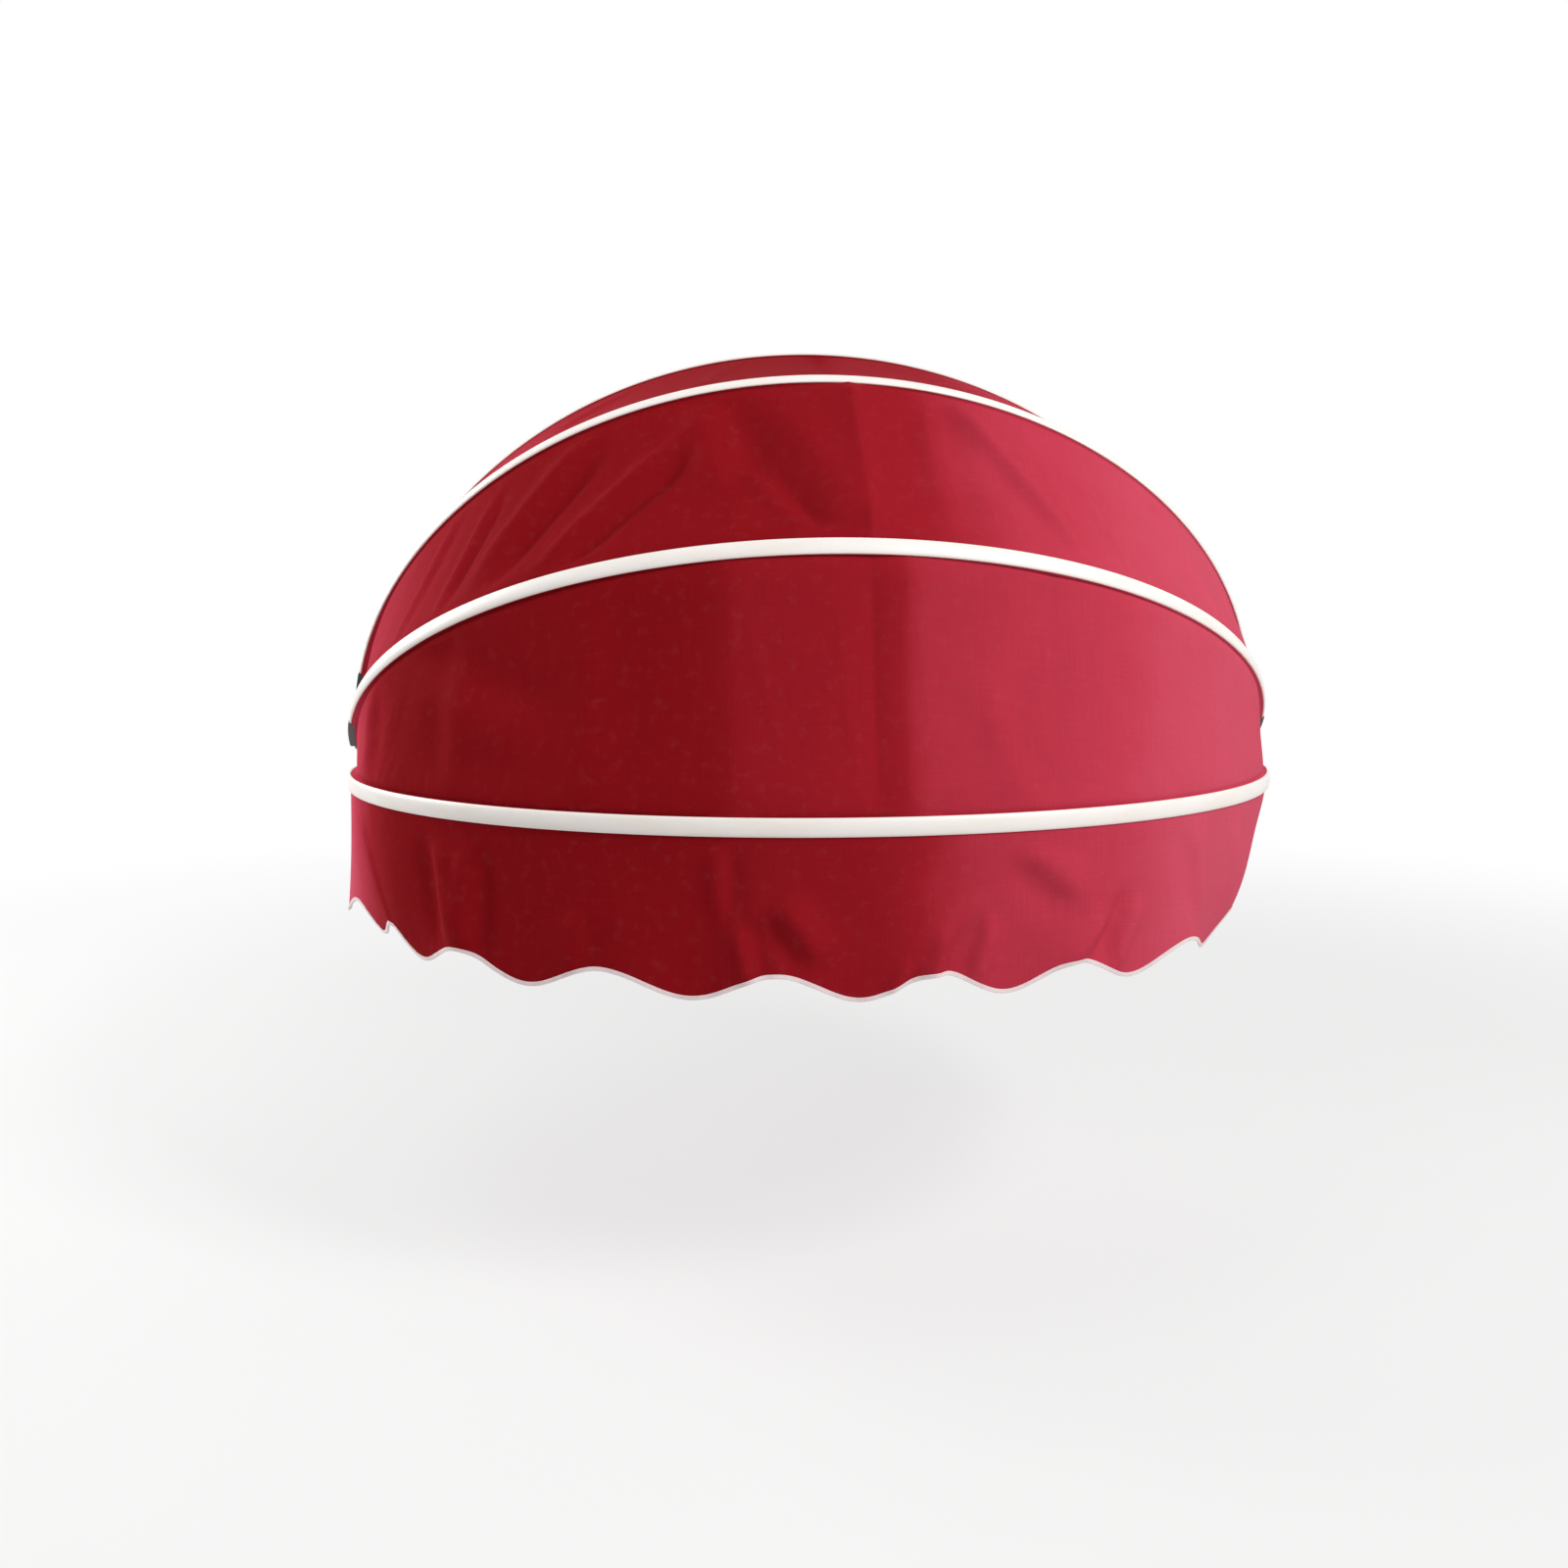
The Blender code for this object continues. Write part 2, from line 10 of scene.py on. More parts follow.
import bpy
import numpy as np
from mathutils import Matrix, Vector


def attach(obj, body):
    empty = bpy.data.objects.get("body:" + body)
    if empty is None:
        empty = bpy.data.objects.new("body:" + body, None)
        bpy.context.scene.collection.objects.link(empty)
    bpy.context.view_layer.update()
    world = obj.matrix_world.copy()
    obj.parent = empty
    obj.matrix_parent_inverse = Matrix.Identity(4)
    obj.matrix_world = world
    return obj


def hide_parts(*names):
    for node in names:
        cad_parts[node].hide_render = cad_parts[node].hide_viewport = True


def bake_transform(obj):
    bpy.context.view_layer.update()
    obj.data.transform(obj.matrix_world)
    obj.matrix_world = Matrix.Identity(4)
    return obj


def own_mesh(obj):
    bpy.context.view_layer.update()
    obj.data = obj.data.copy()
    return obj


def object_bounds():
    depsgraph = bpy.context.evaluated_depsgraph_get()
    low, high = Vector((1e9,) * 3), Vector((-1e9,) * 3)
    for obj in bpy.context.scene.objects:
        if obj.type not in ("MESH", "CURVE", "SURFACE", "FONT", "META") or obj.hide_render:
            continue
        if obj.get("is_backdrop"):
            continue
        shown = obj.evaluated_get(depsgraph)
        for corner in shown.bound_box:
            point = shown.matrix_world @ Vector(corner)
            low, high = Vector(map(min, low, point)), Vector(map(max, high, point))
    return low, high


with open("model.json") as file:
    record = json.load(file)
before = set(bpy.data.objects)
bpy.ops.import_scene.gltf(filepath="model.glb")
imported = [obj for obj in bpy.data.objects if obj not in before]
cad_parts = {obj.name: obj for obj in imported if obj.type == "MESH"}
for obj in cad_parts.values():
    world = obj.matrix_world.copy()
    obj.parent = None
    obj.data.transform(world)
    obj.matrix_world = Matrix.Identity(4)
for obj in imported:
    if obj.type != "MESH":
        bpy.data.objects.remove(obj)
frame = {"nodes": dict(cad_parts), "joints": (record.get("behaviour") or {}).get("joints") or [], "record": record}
CAD_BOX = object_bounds()

bl_info = {
    "name": "Dome awning",
    "version": (1, 0, 0),
    "blender": (4, 5, 0),
    "location": "View3D > Sidebar > Awning",
    "description": "Dresses the packed frame of a folding dome awning in cloth, strips and finishes",
    "category": "Object",
}

# Places that the CAD fixes, in metres
AXIS = np.array(frame["joints"][0]["pos_m"], float)
HOOPS = ("wall_hoop", "upper_hoop", "middle_hoop", "front_hoop")
FRONT = len(HOOPS) - 1
BODIES = ("frame", "upper_hoop", "middle_hoop", "front_hoop")
GORES = ("gore_upper", "gore_middle", "gore_lower")
HALF_SPAN = 0.738
RISES = (0.651, 0.635, 0.635, 0.635)
FOLD_STEP = math.radians(30)
FABRIC_START = 0.045
CAD_SEGMENTS = 27
NEST_PITCH = 0.026
GAP = 0.0003
HEM_INNER = 0.0051
HEM_OUTER = 0.013
STRIP_HALF = 0.012
STRIP_EDGE = 0.001
STEM_HALF = 0.0045
STEM_DEPTH = 0.0065
BARB_HALF = 0.006
BARB_TOP = 0.0037
PROFILE_HALF = 0.0105
PROFILE_TOP = 0.0018
PROFILE_FLOOR = 0.018
PROFILE_WALL = 0.0016
SLOT_HALF = 0.0048
CLIP_STATIONS = (4.5, 13.5, 22.5)
RIVET_STATIONS = (1.193, 25.807)

# How finely each shape is divided
HOOP_STEPS = 4001
STRIP_STEPS = 170
PROFILE_STEPS = 241
COVER_STEPS = 15
GORE_GRID = (541, 57)
VALANCE_GRID = (561, 49)
SEAM_STEPS = 1601
END_SEAM_STEPS = 80

# Strips and end covers, in metres. Overruns and places along a hoop count the CAD's segments
STRIP_OVERRUN = -0.26
FRONT_STRIP_OVERRUN = 0.86
STRIP_ROUND = 0.0018
STRIP_FLAT_STEM = 0.0015  # the stem's depth past the profile's end
STEM_TAPER = 0.03
END_STEP = 0.012
COVER_START = 1.245
COVER_STOP = 0.14
COVER_ROUND = 0.0012
BROKEN_EDGE = 0.0003
FITTING_REACH = 0.45  # how far round a fitting the profile's floor is lowered to it

# Canopy, in metres. Hem rows lie across a hoop, and spread and sink where its strip ends
HEM_ROWS = (HEM_INNER, 0.0109)
HEM_ENDS_COVERED = (0.0125, 0.0130)
HEM_ENDS_OPEN = (0.0112, 0.0120)
HEM_SINK_COVERED = 0.0060
HEM_SINK_OPEN = 0.0018
END_SLACK = 0.0085  # how far the cloth falls in towards the hoops' ends
DIP_WIDTH = 0.007
SMALL_FOLDS = 46
CREASE_BLUNT = 0.001  # half width over which a crease is rounded
CANVAS_LEFT = -0.735  # where the canvas is palest at the left end, a painted sheen

# Valance and its seams, in metres
VALANCE_LENGTH = 0.2
VALANCE_FOLD = 1.9
LONG_WAVE = 0.335
SHORT_WAVE = 0.148
END_HEM_WIDTH = 0.0115
END_HEM_FOLD = 0.0005
END_SEAM = 0.0085
END_SEAM_TOP = 0.018
END_SEAM_CLEAR = 0.012
STITCH_RADIUS = 0.00026
STITCH_GAP = 0.0009
STITCH_INSET = 0.0015

# Carried-over fittings
WELD_REACH = 0.00001
SHARP_EDGE = math.radians(40)

# Studio and camera: the picture's side and optical centre in pixels, places in metres, degrees
FLOOR_RADIUS = 14.0
FLOOR_FADE = (1.6, 4.2)
PICTURE = 1600
OPTICAL_CENTRE = (825.6, 651.0)
CAMERA_PLACE = (-0.1886, -2.3569, -0.3867)
CAMERA_TILT = 88.55
CAMERA_PAN = -4.58

# Each lamp: its power in the stage's settings, side, place and target
LAMPS = {
    "key_lamp": ("key", 1.3, (2.35, -2.9, 2.05), (0.0, -0.3, -0.35)),
    "fill_lamp": ("fill", 1.8, (-3.3, 0.9, 0.9), (0.0, -0.3, -0.45)),
    "top_lamp": ("sky", 1.6, (-1.5, -1.5, 2.3), (-0.3, -0.3, -0.3)),
}


def metres(name, default, description, low=0.0, high=1.0):
    """A length that the user can change."""
    return bpy.props.FloatProperty(
        name=name, description=description, default=default, min=low, max=high,
        precision=5, unit="LENGTH", subtype="DISTANCE",
    )


def share(name, default, description, low=0.0, high=1.0):
    """A plain number that the user can change."""
    return bpy.props.FloatProperty(
        name=name, description=description, default=default, min=low, max=high, subtype="FACTOR",
    )


def colour(name, default, description):
    """A linear colour that the user can change."""
    return bpy.props.FloatVectorProperty(
        name=name, description=description, default=default, size=3, min=0.0, max=1.0,
        subtype="COLOR",
    )


def watts(name, default, description):
    """A lamp's power that the user can change."""
    return bpy.props.FloatProperty(
        name=name, description=description, default=default, min=0.0, unit="POWER"
    )


class AwningCloth(bpy.types.PropertyGroup):
    """Sizes and colours of the canopy and the valance."""

    # Stops of the canvas's colour ramp. The paler reds stand partly for sun fading and partly for painted light:
    # the lit right side, the sheen at the left end and the steps at the creases.
    deep: colour("Deep red", (0.262, 0.0062, 0.0100), "Canvas where the dye is fresh")
    worn: colour("Worn red", (0.360, 0.0130, 0.0230), "Canvas that has seen some sun")
    pale: colour("Pale red", (0.560, 0.0460, 0.0820), "Canvas that has seen more sun")
    faded_and_lit: colour("Faded red", (0.700, 0.1000, 0.1600), "Canvas where the sun has paled it")
    thickness: metres("Thickness", 0.0009, "Thickness of the canvas", 0.0004, 0.0012)
    thread: metres("Thread pitch", 0.0009, "Distance from one thread to the next", 0.0004, 0.003)
    sag: metres("Sag", 0.0080, "How far the canvas dips between two hoops", 0.0, 0.02)
    dip: metres("Dip beside strips", 0.0038, "How far the canvas dips at a strip", 0.0, 0.005)
    fold: share("Folds", 2.3, "Strength of the soft folds", 0.0, 4.0)
    crease: metres("Packing creases", 0.0130, "Height of the creases from packing", 0.0, 0.02)


class AwningValance(bpy.types.PropertyGroup):
    """Sizes and colours of the hanging border."""

    drop: metres("Drop", 0.1985, "From the front hoop to the mean line of the scallops", 0.1, 0.3)
    wave: metres("Scallop depth", 0.016, "Half the height of a scallop", 0.0, 0.03)
    pitch: metres("Scallop pitch", 0.207, "Width of one scallop", 0.1, 0.4)
    drift: metres("Scallop drift", 0.016, "How far a scallop strays from its even place", 0.0, 0.03)
    flute: metres("Flutes", 0.008, "How far the edge swings out between two scallops", 0.0, 0.02)
    sway: metres("Sway", 0.0024, "How far the free edge swings in and out", 0.0, 0.02)
    lean: metres("Side lean", 0.052, "How far the free edge is drawn in at the sides", 0.0, 0.08)
    binding: metres("Binding height", 0.0046, "Height of the tape over the edge", 0.003, 0.012)
    tape: metres("Tape thickness", 0.0008, "Thickness of the tape", 0.0003, 0.0012)
    stitch: metres("Stitch length", 0.0026, "Length of one stitch", 0.001, 0.006)
    tape_colour: colour("Tape", (0.95, 0.79, 0.80), "Woven tape over the free edge")
    thread_colour: colour("Sewing thread", (0.93, 0.77, 0.78), "Thread of the seams")


class AwningFittings(bpy.types.PropertyGroup):
    """Sizes and colours of strips, profiles and fittings."""

    dome: metres("Strip height", 0.0040, "Height of a cover strip's dome", 0.002, 0.008)
    strip: colour("Cover strip", (0.93, 0.885, 0.85), "Plastic of the cover strips")
    aluminium: colour("Profile", (0.62, 0.63, 0.64), "Anodised metal of the hoops")
    nylon: colour("End piece", (0.020, 0.016, 0.015), "Moulded nylon of the end pieces")
    spacer: colour("Spacer", (0.74, 0.73, 0.70), "Moulded nylon of the spacers")
    coat: colour("Bracket", (0.80, 0.79, 0.77), "Powder coat of brackets and clips")
    zinc: colour("Fasteners", (0.62, 0.62, 0.59), "Zinc plate of screws, bolts and rivets")
    bevel: metres("Edge rounding", 0.0003, "Radius of the fittings' edges", 0.0, 0.001)


class AwningStage(bpy.types.PropertyGroup):
    """The studio and the camera."""

    floor: colour("Floor", (0.80, 0.80, 0.79), "Plain pale floor")
    floor_drop: metres("Floor", 1.35, "Distance from the crown clip down to the floor", 1.0, 4.0)
    key: watts("Key lamp", 124.0, "Lamp at the right")
    fill: watts("Fill lamp", 88.0, "Lamp behind the left side")
    sky: watts("Top lamp", 17.0, "Lamp above the left side")
    ambient: share("Ambient", 0.27, "Brightness of the light from all round", 0.0, 2.0)
    lens: bpy.props.FloatProperty(
        name="Lens", description="Focal length", default=31.77, min=10.0, unit="CAMERA"
    )


def settings(group):
    """One of the scene's property groups."""
    return getattr(bpy.context.scene, group)


# Shaders


class Wire:
    """An output in a node tree. Arithmetic on it adds Math nodes."""

    def __init__(self, tree, socket):
        self.tree = tree
        self.socket = socket

    def math(self, operation, *values):
        sockets = dict(enumerate(values))
        return self.tree.node("ShaderNodeMath", {"operation": operation}, sockets)

    def __add__(self, other):
        return self.math("ADD", self, other)

    def __radd__(self, other):
        return self.math("ADD", other, self)

    def __sub__(self, other):
        return self.math("SUBTRACT", self, other)

    def __rsub__(self, other):
        return self.math("SUBTRACT", other, self)

    def __mul__(self, other):
        return self.math("MULTIPLY", self, other)

    def __rmul__(self, other):
        return self.math("MULTIPLY", other, self)

    def __abs__(self):
        return self.math("ABSOLUTE", self)

    def sine(self):
        return self.math("SINE", self)

    def maximum(self, other):
        return self.math("MAXIMUM", self, other)


class Tree:
    """The node tree of a material or of the world while it is written."""

    def __init__(self, owner):
        owner.use_nodes = True
        self.nodes = owner.node_tree.nodes
        self.links = owner.node_tree.links
        self.nodes.clear()

    def node(self, kind, options=None, values=None, output=0):
        """Adds a node, sets its options and then its sockets, and returns one output."""
        made = self.nodes.new(kind)
        for name, value in (options or {}).items():
            if name == "stops":
                for _ in value[2:]:
                    made.color_ramp.elements.new(0.5)
                for element, (place, shade) in zip(made.color_ramp.elements, value):
                    element.position = place
                    element.color = shade
            else:
                setattr(made, name, value)
        for key, value in (values or {}).items():
            if isinstance(value, Wire):
                self.links.new(value.socket, made.inputs[key])
            else:
                made.inputs[key].default_value = value
        return Wire(self, made.outputs[output]) if len(made.outputs) else None

    def mix(self, factor, first, second):
        """A colour between two colours."""
        values = {0: factor, 6: rgba(first), 7: rgba(second)}
        return self.node("ShaderNodeMix", {"data_type": "RGBA"}, values, output=2)

    def stretch(self, vector, scale):
        """A vector scaled by a different number along each of its axes."""
        values = {0: vector, 1: scale}
        return self.node("ShaderNodeVectorMath", {"operation": "MULTIPLY"}, values)

    def noise(self, vector, scale, detail, roughness=0.5):
        """Smooth random values from 0 to 1."""
        values = {"Vector": vector, "Scale": scale, "Detail": detail, "Roughness": roughness}
        return self.node("ShaderNodeTexNoise", None, values)

    def streaks(self, vector, scale, detail, roughness=0.5):
        """Smooth random values with a different scale along each axis."""
        return self.noise(self.stretch(vector, scale), 1.0, detail, roughness)

    def remap(self, value, low, high, to_low, to_high):
        """A value moved smoothly from one range to another, and held inside it."""
        options = {"interpolation_type": "SMOOTHSTEP"}
        values = dict(enumerate((value, low, high, to_low, to_high)))
        return self.node("ShaderNodeMapRange", options, values)

    def axes(self, vector):
        """The three numbers of a vector."""
        split = self.node("ShaderNodeSeparateXYZ", None, {0: vector}).socket.node
        return [Wire(self, socket) for socket in split.outputs]

    def on_cloth(self):
        """Place on a lofted piece in metres: along it and across it."""
        return self.node("ShaderNodeUVMap", {"uv_map": "lay"})

    def on_object(self):
        """Place in the model in metres."""
        return self.node("ShaderNodeTexCoord", output=3)


def rgba(value):
    """A colour as a node socket takes it."""
    return value if isinstance(value, Wire) else (*tuple(value)[:3], 1.0)


def tinted(base, part):
    """A colour made darker, to a part of its brightness."""
    return tuple(value * part for value in base)


class Finish(Tree):
    """A material whose surface is one Principled shader."""

    def __init__(self, name):
        self.material = bpy.data.materials.new(name)
        super().__init__(self.material)

    def surface(self, base, roughness, height, depth, **constants):
        """Ends the material: varying colour, roughness and height, and constant sockets."""
        values = {"Base Color": rgba(base), "Roughness": roughness}
        values.update({name.replace("_", " "): value for name, value in constants.items()})
        bump = {"Strength": 1.0, "Distance": depth, "Height": height}
        values["Normal"] = self.node("ShaderNodeBump", None, bump)
        shader = self.node("ShaderNodeBsdfPrincipled", None, values)
        self.node("ShaderNodeOutputMaterial", None, {"Surface": shader})
        return self.material


def canvas_finish(name, cloth, sheen_left_end, crease_shade_steps):
    """Woven awning canvas: plain weave with painted shade between its threads, uneven threads, dust, paler towards
    the right partly from sun fading and partly as painted light, a painted sheen at the left end and painted shade
    steps at the packing creases.
    """
    make = Finish(name)
    place = make.on_cloth()
    along, across, _ = make.axes(place)
    warp = (along * (math.pi / cloth.thread)).sine()
    weft = (across * (math.pi / cloth.thread)).sine()
    cross = warp * weft
    weave = ((abs(warp) + cross) * 0.5).maximum((abs(weft) - cross) * 0.5)
    slub_along = make.streaks(place, (14.0, 900.0, 0.0), 2.0)
    slub_across = make.streaks(place, (900.0, 14.0, 0.0), 2.0)
    slubs = slub_along + slub_across - 1.0
    cloud = make.noise(place, 5.5, 4.0, 0.55)
    mottle = make.noise(place, 60.0, 3.0, 0.6)
    key_side_x = make.axes(make.on_object())[0]
    # Paler towards the right: partly sun fading, partly painted light standing in for the lamp at the right.
    fade = make.remap(key_side_x + (cloud - 0.5) * 0.16, -0.30, 0.75, 0.0, 0.55)
    # Painted sheen: paler towards the far left end, where grazing light falls from the left.
    fade = fade + make.remap(key_side_x, CANVAS_LEFT, *sheen_left_end, 0.0)
    # Painted shade: a step paler past each packing crease, where the cloth turns more to the light.
    for crease, step, soft in crease_shade_steps:
        uneven = along + (cloud - 0.5) * soft
        fade = fade + make.remap(uneven, crease - soft, crease + soft, 0.0, step)
    shades = (0.0, cloth.deep), (0.33, cloth.worn), (0.75, cloth.pale), (1.0, cloth.faded_and_lit)
    stops = [(stop, rgba(shade)) for stop, shade in shades]
    dyed = make.node("ShaderNodeValToRGB", {"stops": stops}, {0: fade})
    # Painted shade between the threads of the weave, and lighter or darker along the slubs, partly the threads'
    # own uneven tone.
    thread = make.remap(weave + slubs * 0.9, 0.05, 1.05, 0.0, 1.0)
    shaded = make.node(
        "ShaderNodeMix", {"data_type": "RGBA", "blend_type": "MULTIPLY"},
        {0: 1.0, 6: dyed, 7: make.mix(thread, (0.86, 0.86, 0.86), (1.07, 1.07, 1.07))},
        output=2,
    )
    dusty = make.mix(make.remap(mottle, 0.50, 0.82, 0.0, 0.035), shaded, (0.50, 0.26, 0.26))
    roughness = 0.56 + (mottle - 0.5) * 0.12 + (1 - weave) * 0.12
    height = weave * 0.55 + slubs * 0.35 + mottle * 0.5
    return make.surface(
        dusty, roughness, height, 0.00022,
        Specular_IOR_Level=0.005, Sheen_Weight=0.03, Sheen_Roughness=0.30,
        Sheen_Tint=(1.0, 0.36, 0.46, 1.0),
    )


def strip_finish(name, base):
    """Extruded plastic: satin, with faint draw lines, thin grime and a slight yellowing."""
    make = Finish(name)
    place = make.on_cloth()
    lines = make.streaks(place, (3.0, 1500.0, 0.0), 3.0, 0.6)
    cloud = make.streaks(place, (9.0, 30.0, 0.0), 4.0, 0.6)
    specks = make.streaks(place, (240.0, 320.0, 0.0), 2.0, 0.7)
    aged = tuple(value * shade for value, shade in zip(base, (0.96, 0.93, 0.88)))
    body = make.mix(make.remap(cloud, 0.38, 0.70, 0.0, 0.7), base, aged)
    grime = make.remap(specks * 0.6 + lines * 0.5, 0.64, 0.80, 0.0, 0.22)
    dirty = make.mix(grime, body, (0.42, 0.36, 0.32))
    roughness = 0.34 + lines * 0.14 + (cloud - 0.5) * 0.12
    height = lines * 0.6 + specks * 0.25
    return make.surface(dirty, roughness, height, 0.00010, Specular_IOR_Level=0.5)


def tape_finish(name, base):
    """Woven binding tape with fine ribs across it, and painted shade between the ribs."""
    make = Finish(name)
    place = make.on_cloth()
    along, across, _ = make.axes(place)
    ribs = abs((along * 3900.0).sine())
    rows = abs((across * 5200.0).sine())
    soil = make.streaks(place, (26.0, 90.0, 0.0), 4.0, 0.6)
    body = make.mix(make.remap(soil, 0.40, 0.75, 0.0, 0.8), base, tinted(base, 0.80))
    # Painted shade: darker in the grooves between the woven ribs.
    shaded = make.mix((1 - ribs) * 0.22, body, tinted(base, 0.62))
    return make.surface(
        shaded, 0.74 + (soil - 0.5) * 0.2, ribs * 0.7 + rows * 0.3, 0.00016,
        Specular_IOR_Level=0.35, Sheen_Weight=0.15,
    )


def thread_finish(name, base):
    """Twisted sewing thread."""
    make = Finish(name)
    place = make.on_object()
    twist = make.streaks(place, (2600.0, 2600.0, 2600.0), 2.0)
    body = make.mix(twist, tinted(base, 0.7), base)
    return make.surface(body, 0.55 + twist * 0.2, twist, 0.00008, Specular_IOR_Level=0.4)


def aluminium_finish(name, base):
    """Anodised extrusion: draw lines along it and a dull bloom."""
    make = Finish(name)
    place = make.on_cloth()
    lines = make.streaks(place, (4.0, 2600.0, 0.0), 4.0, 0.65)
    bloom = make.streaks(place, (14.0, 40.0, 0.0), 4.0, 0.6)
    body = make.mix(make.remap(bloom, 0.35, 0.70, 0.0, 1.0), base, tinted(base, 0.82))
    roughness = 0.28 + lines * 0.16 + (bloom - 0.5) * 0.16
    return make.surface(body, roughness, lines, 0.00006, Metallic=1.0)


def moulded_finish(name, base, worn):
    """Moulded nylon: fine grain, scuffs and paler wear."""
    make = Finish(name)
    place = make.on_object()
    grain = make.noise(place, 2600.0, 2.0, 0.6)
    scuff = make.streaks(place, (90.0, 420.0, 420.0), 4.0, 0.65)
    wear = make.remap(scuff, 0.56, 0.78, 0.0, 0.55)
    body = make.mix(wear, base, worn)
    roughness = 0.46 + (grain - 0.5) * 0.12 + wear * 0.2
    return make.surface(body, roughness, grain * 0.5 + scuff * 0.6, 0.00012)


def coat_finish(name, base):
    """Powder coat with orange peel, thin dust and a few chips down to the zinc."""
    make = Finish(name)
    place = make.on_object()
    peel = make.noise(place, 900.0, 2.0, 0.5)
    dust = make.noise(place, 45.0, 4.0, 0.6)
    chip = make.noise(place, 260.0, 3.0, 0.7)
    dusty = make.mix(make.remap(dust, 0.45, 0.80, 0.0, 0.35), base, (0.48, 0.42, 0.37))
    bare = make.remap(chip, 0.74, 0.78, 0.0, 1.0)
    body = make.mix(bare, dusty, (0.36, 0.35, 0.34))
    roughness = 0.36 + dust * 0.18
    return make.surface(body, roughness, peel * 0.6 - bare * 0.8, 0.00012)


def zinc_finish(name, base):
    """Zinc plate: spangled patches, dulled where damp has reached it."""
    make = Finish(name)
    place = make.on_object()
    spangle = make.node("ShaderNodeTexVoronoi", None, {"Vector": place, "Scale": 420.0}, output=1)
    patch = make.axes(spangle)[0]
    damp = make.noise(place, 160.0, 4.0, 0.6)
    dull = make.remap(damp * 0.7 + patch * 0.3, 0.35, 0.75, 0.0, 1.0)
    body = make.mix(dull, base, tinted(base, 0.66))
    roughness = 0.26 + damp * 0.26 + patch * 0.06
    return make.surface(body, roughness, patch * 0.3 + damp * 0.6, 0.00008, Metallic=1.0)


# Shapes


def distance_run(first, second):
    """Distance along a line of points from its start, given their two coordinates."""
    return np.concatenate([[0], np.cumsum(np.hypot(np.diff(first), np.diff(second)))])


class Hoop:
    """Half an ellipse on the hinge axis, read by distance along its arc from the crown."""

    def __init__(self, index):
        angle = math.pi / 2 - index * FOLD_STEP
        self.along = np.array([0.0, -math.cos(angle), math.sin(angle)])
        self.across = np.array([0.0, -math.sin(angle), -math.cos(angle)])
        self.offset = (index - FRONT / 2) * NEST_PITCH
        self.rise = RISES[index]
        start = math.asin(FABRIC_START / self.rise)
        self.turns = np.linspace(start, math.pi - start, HOOP_STEPS)
        x = -HALF_SPAN * np.cos(self.turns)
        radius = self.rise * np.sin(self.turns)
        arc = distance_run(x, radius)
        self.half = arc[-1] / 2
        self.arc = arc - self.half

    def station(self, number):
        """Distance from the crown of one of the CAD's stations."""
        return (number / CAD_SEGMENTS * 2 - 1) * self.half

    def points(self, arc, out, across):
        """Points at distances along the hoop, out from the strip and across to the next hoop."""
        turn = np.interp(arc, self.arc, self.turns)
        normal = np.stack([-np.cos(turn) / HALF_SPAN, np.sin(turn) / self.rise])
        normal = normal / np.hypot(*normal)
        x = -HALF_SPAN * np.cos(turn) + out * normal[0]
        radius = self.rise * np.sin(turn) + out * normal[1]
        lift = np.broadcast_to(self.offset + across, radius.shape)
        place = radius[..., None] * self.along + lift[..., None] * self.across
        place[..., 0] = x
        return AXIS + place


def smooth(value, low, high):
    """A smooth step from 0 to 1."""
    t = np.clip((value - low) / (high - low), 0, 1)
    return t * t * (3 - 2 * t)


def add_mesh(name, points, faces, lay, finish, angle=35.0):
    """Makes an object from points and faces, with its lay in metres, if any, as a UV map."""
    mesh = bpy.data.meshes.new(name)
    mesh.from_pydata(points.tolist(), [], faces)
    if lay is not None:
        corner = np.zeros(len(mesh.loops), np.int32)
        mesh.loops.foreach_get("vertex_index", corner)
        layer = mesh.uv_layers.new(name="lay")
        layer.uv.foreach_set("vector", lay[corner].astype(np.float32).ravel())
    mesh.shade_smooth()
    mesh.set_sharp_from_angle(angle=math.radians(angle))
    made = bpy.data.objects.new(name, mesh)
    bpy.context.scene.collection.objects.link(made)
    mesh.materials.append(finish)
    return made


def grid_faces(rows, columns, closed=False, first=0):
    """Quads between the rows of a grid of points, closed round the columns if asked."""
    faces = []
    steps = columns if closed else columns - 1
    for row in range(rows - 1):
        near = first + row * columns
        far = near + columns
        for column in range(steps):
            after = (column + 1) % columns
            faces.append((near + column, near + after, far + after, far + column))
    return faces


def add_tube(name, rings, lay, finish):
    """A closed section lofted through rings of points, with its two ends filled."""
    rows, columns = rings.shape[:2]
    faces = grid_faces(rows, columns, closed=True)
    faces.append(tuple(reversed(range(columns))))
    faces.append(tuple(range((rows - 1) * columns, rows * columns)))
    return add_mesh(name, rings.reshape(-1, 3), faces, lay.reshape(-1, 2), finish)


def add_shell(name, outer, inner, lay, finish):
    """A sheet of cloth with two faces and a rim."""
    rows, columns = outer.shape[:2]
    count = rows * columns
    faces = grid_faces(rows, columns)
    faces += [tuple(reversed(face)) for face in grid_faces(rows, columns, first=count)]
    index = np.arange(count).reshape(rows, columns)
    rim = np.concatenate([index[0], index[1:, -1], index[-1, -2::-1], index[-2:0:-1, 0]]).tolist()
    for here, after in zip(rim, rim[1:] + rim[:1]):
        faces.append((after, here, here + count, after + count))
    points = np.concatenate([outer.reshape(-1, 3), inner.reshape(-1, 3)])
    both = np.concatenate([lay.reshape(-1, 2)] * 2)
    return add_mesh(name, points, faces, both, finish, angle=60.0)


def normals(grid):
    """Unit normals of a grid of points."""
    across = np.cross(np.gradient(grid, axis=1), np.gradient(grid, axis=0))
    return across / np.linalg.norm(across, axis=-1, keepdims=True)


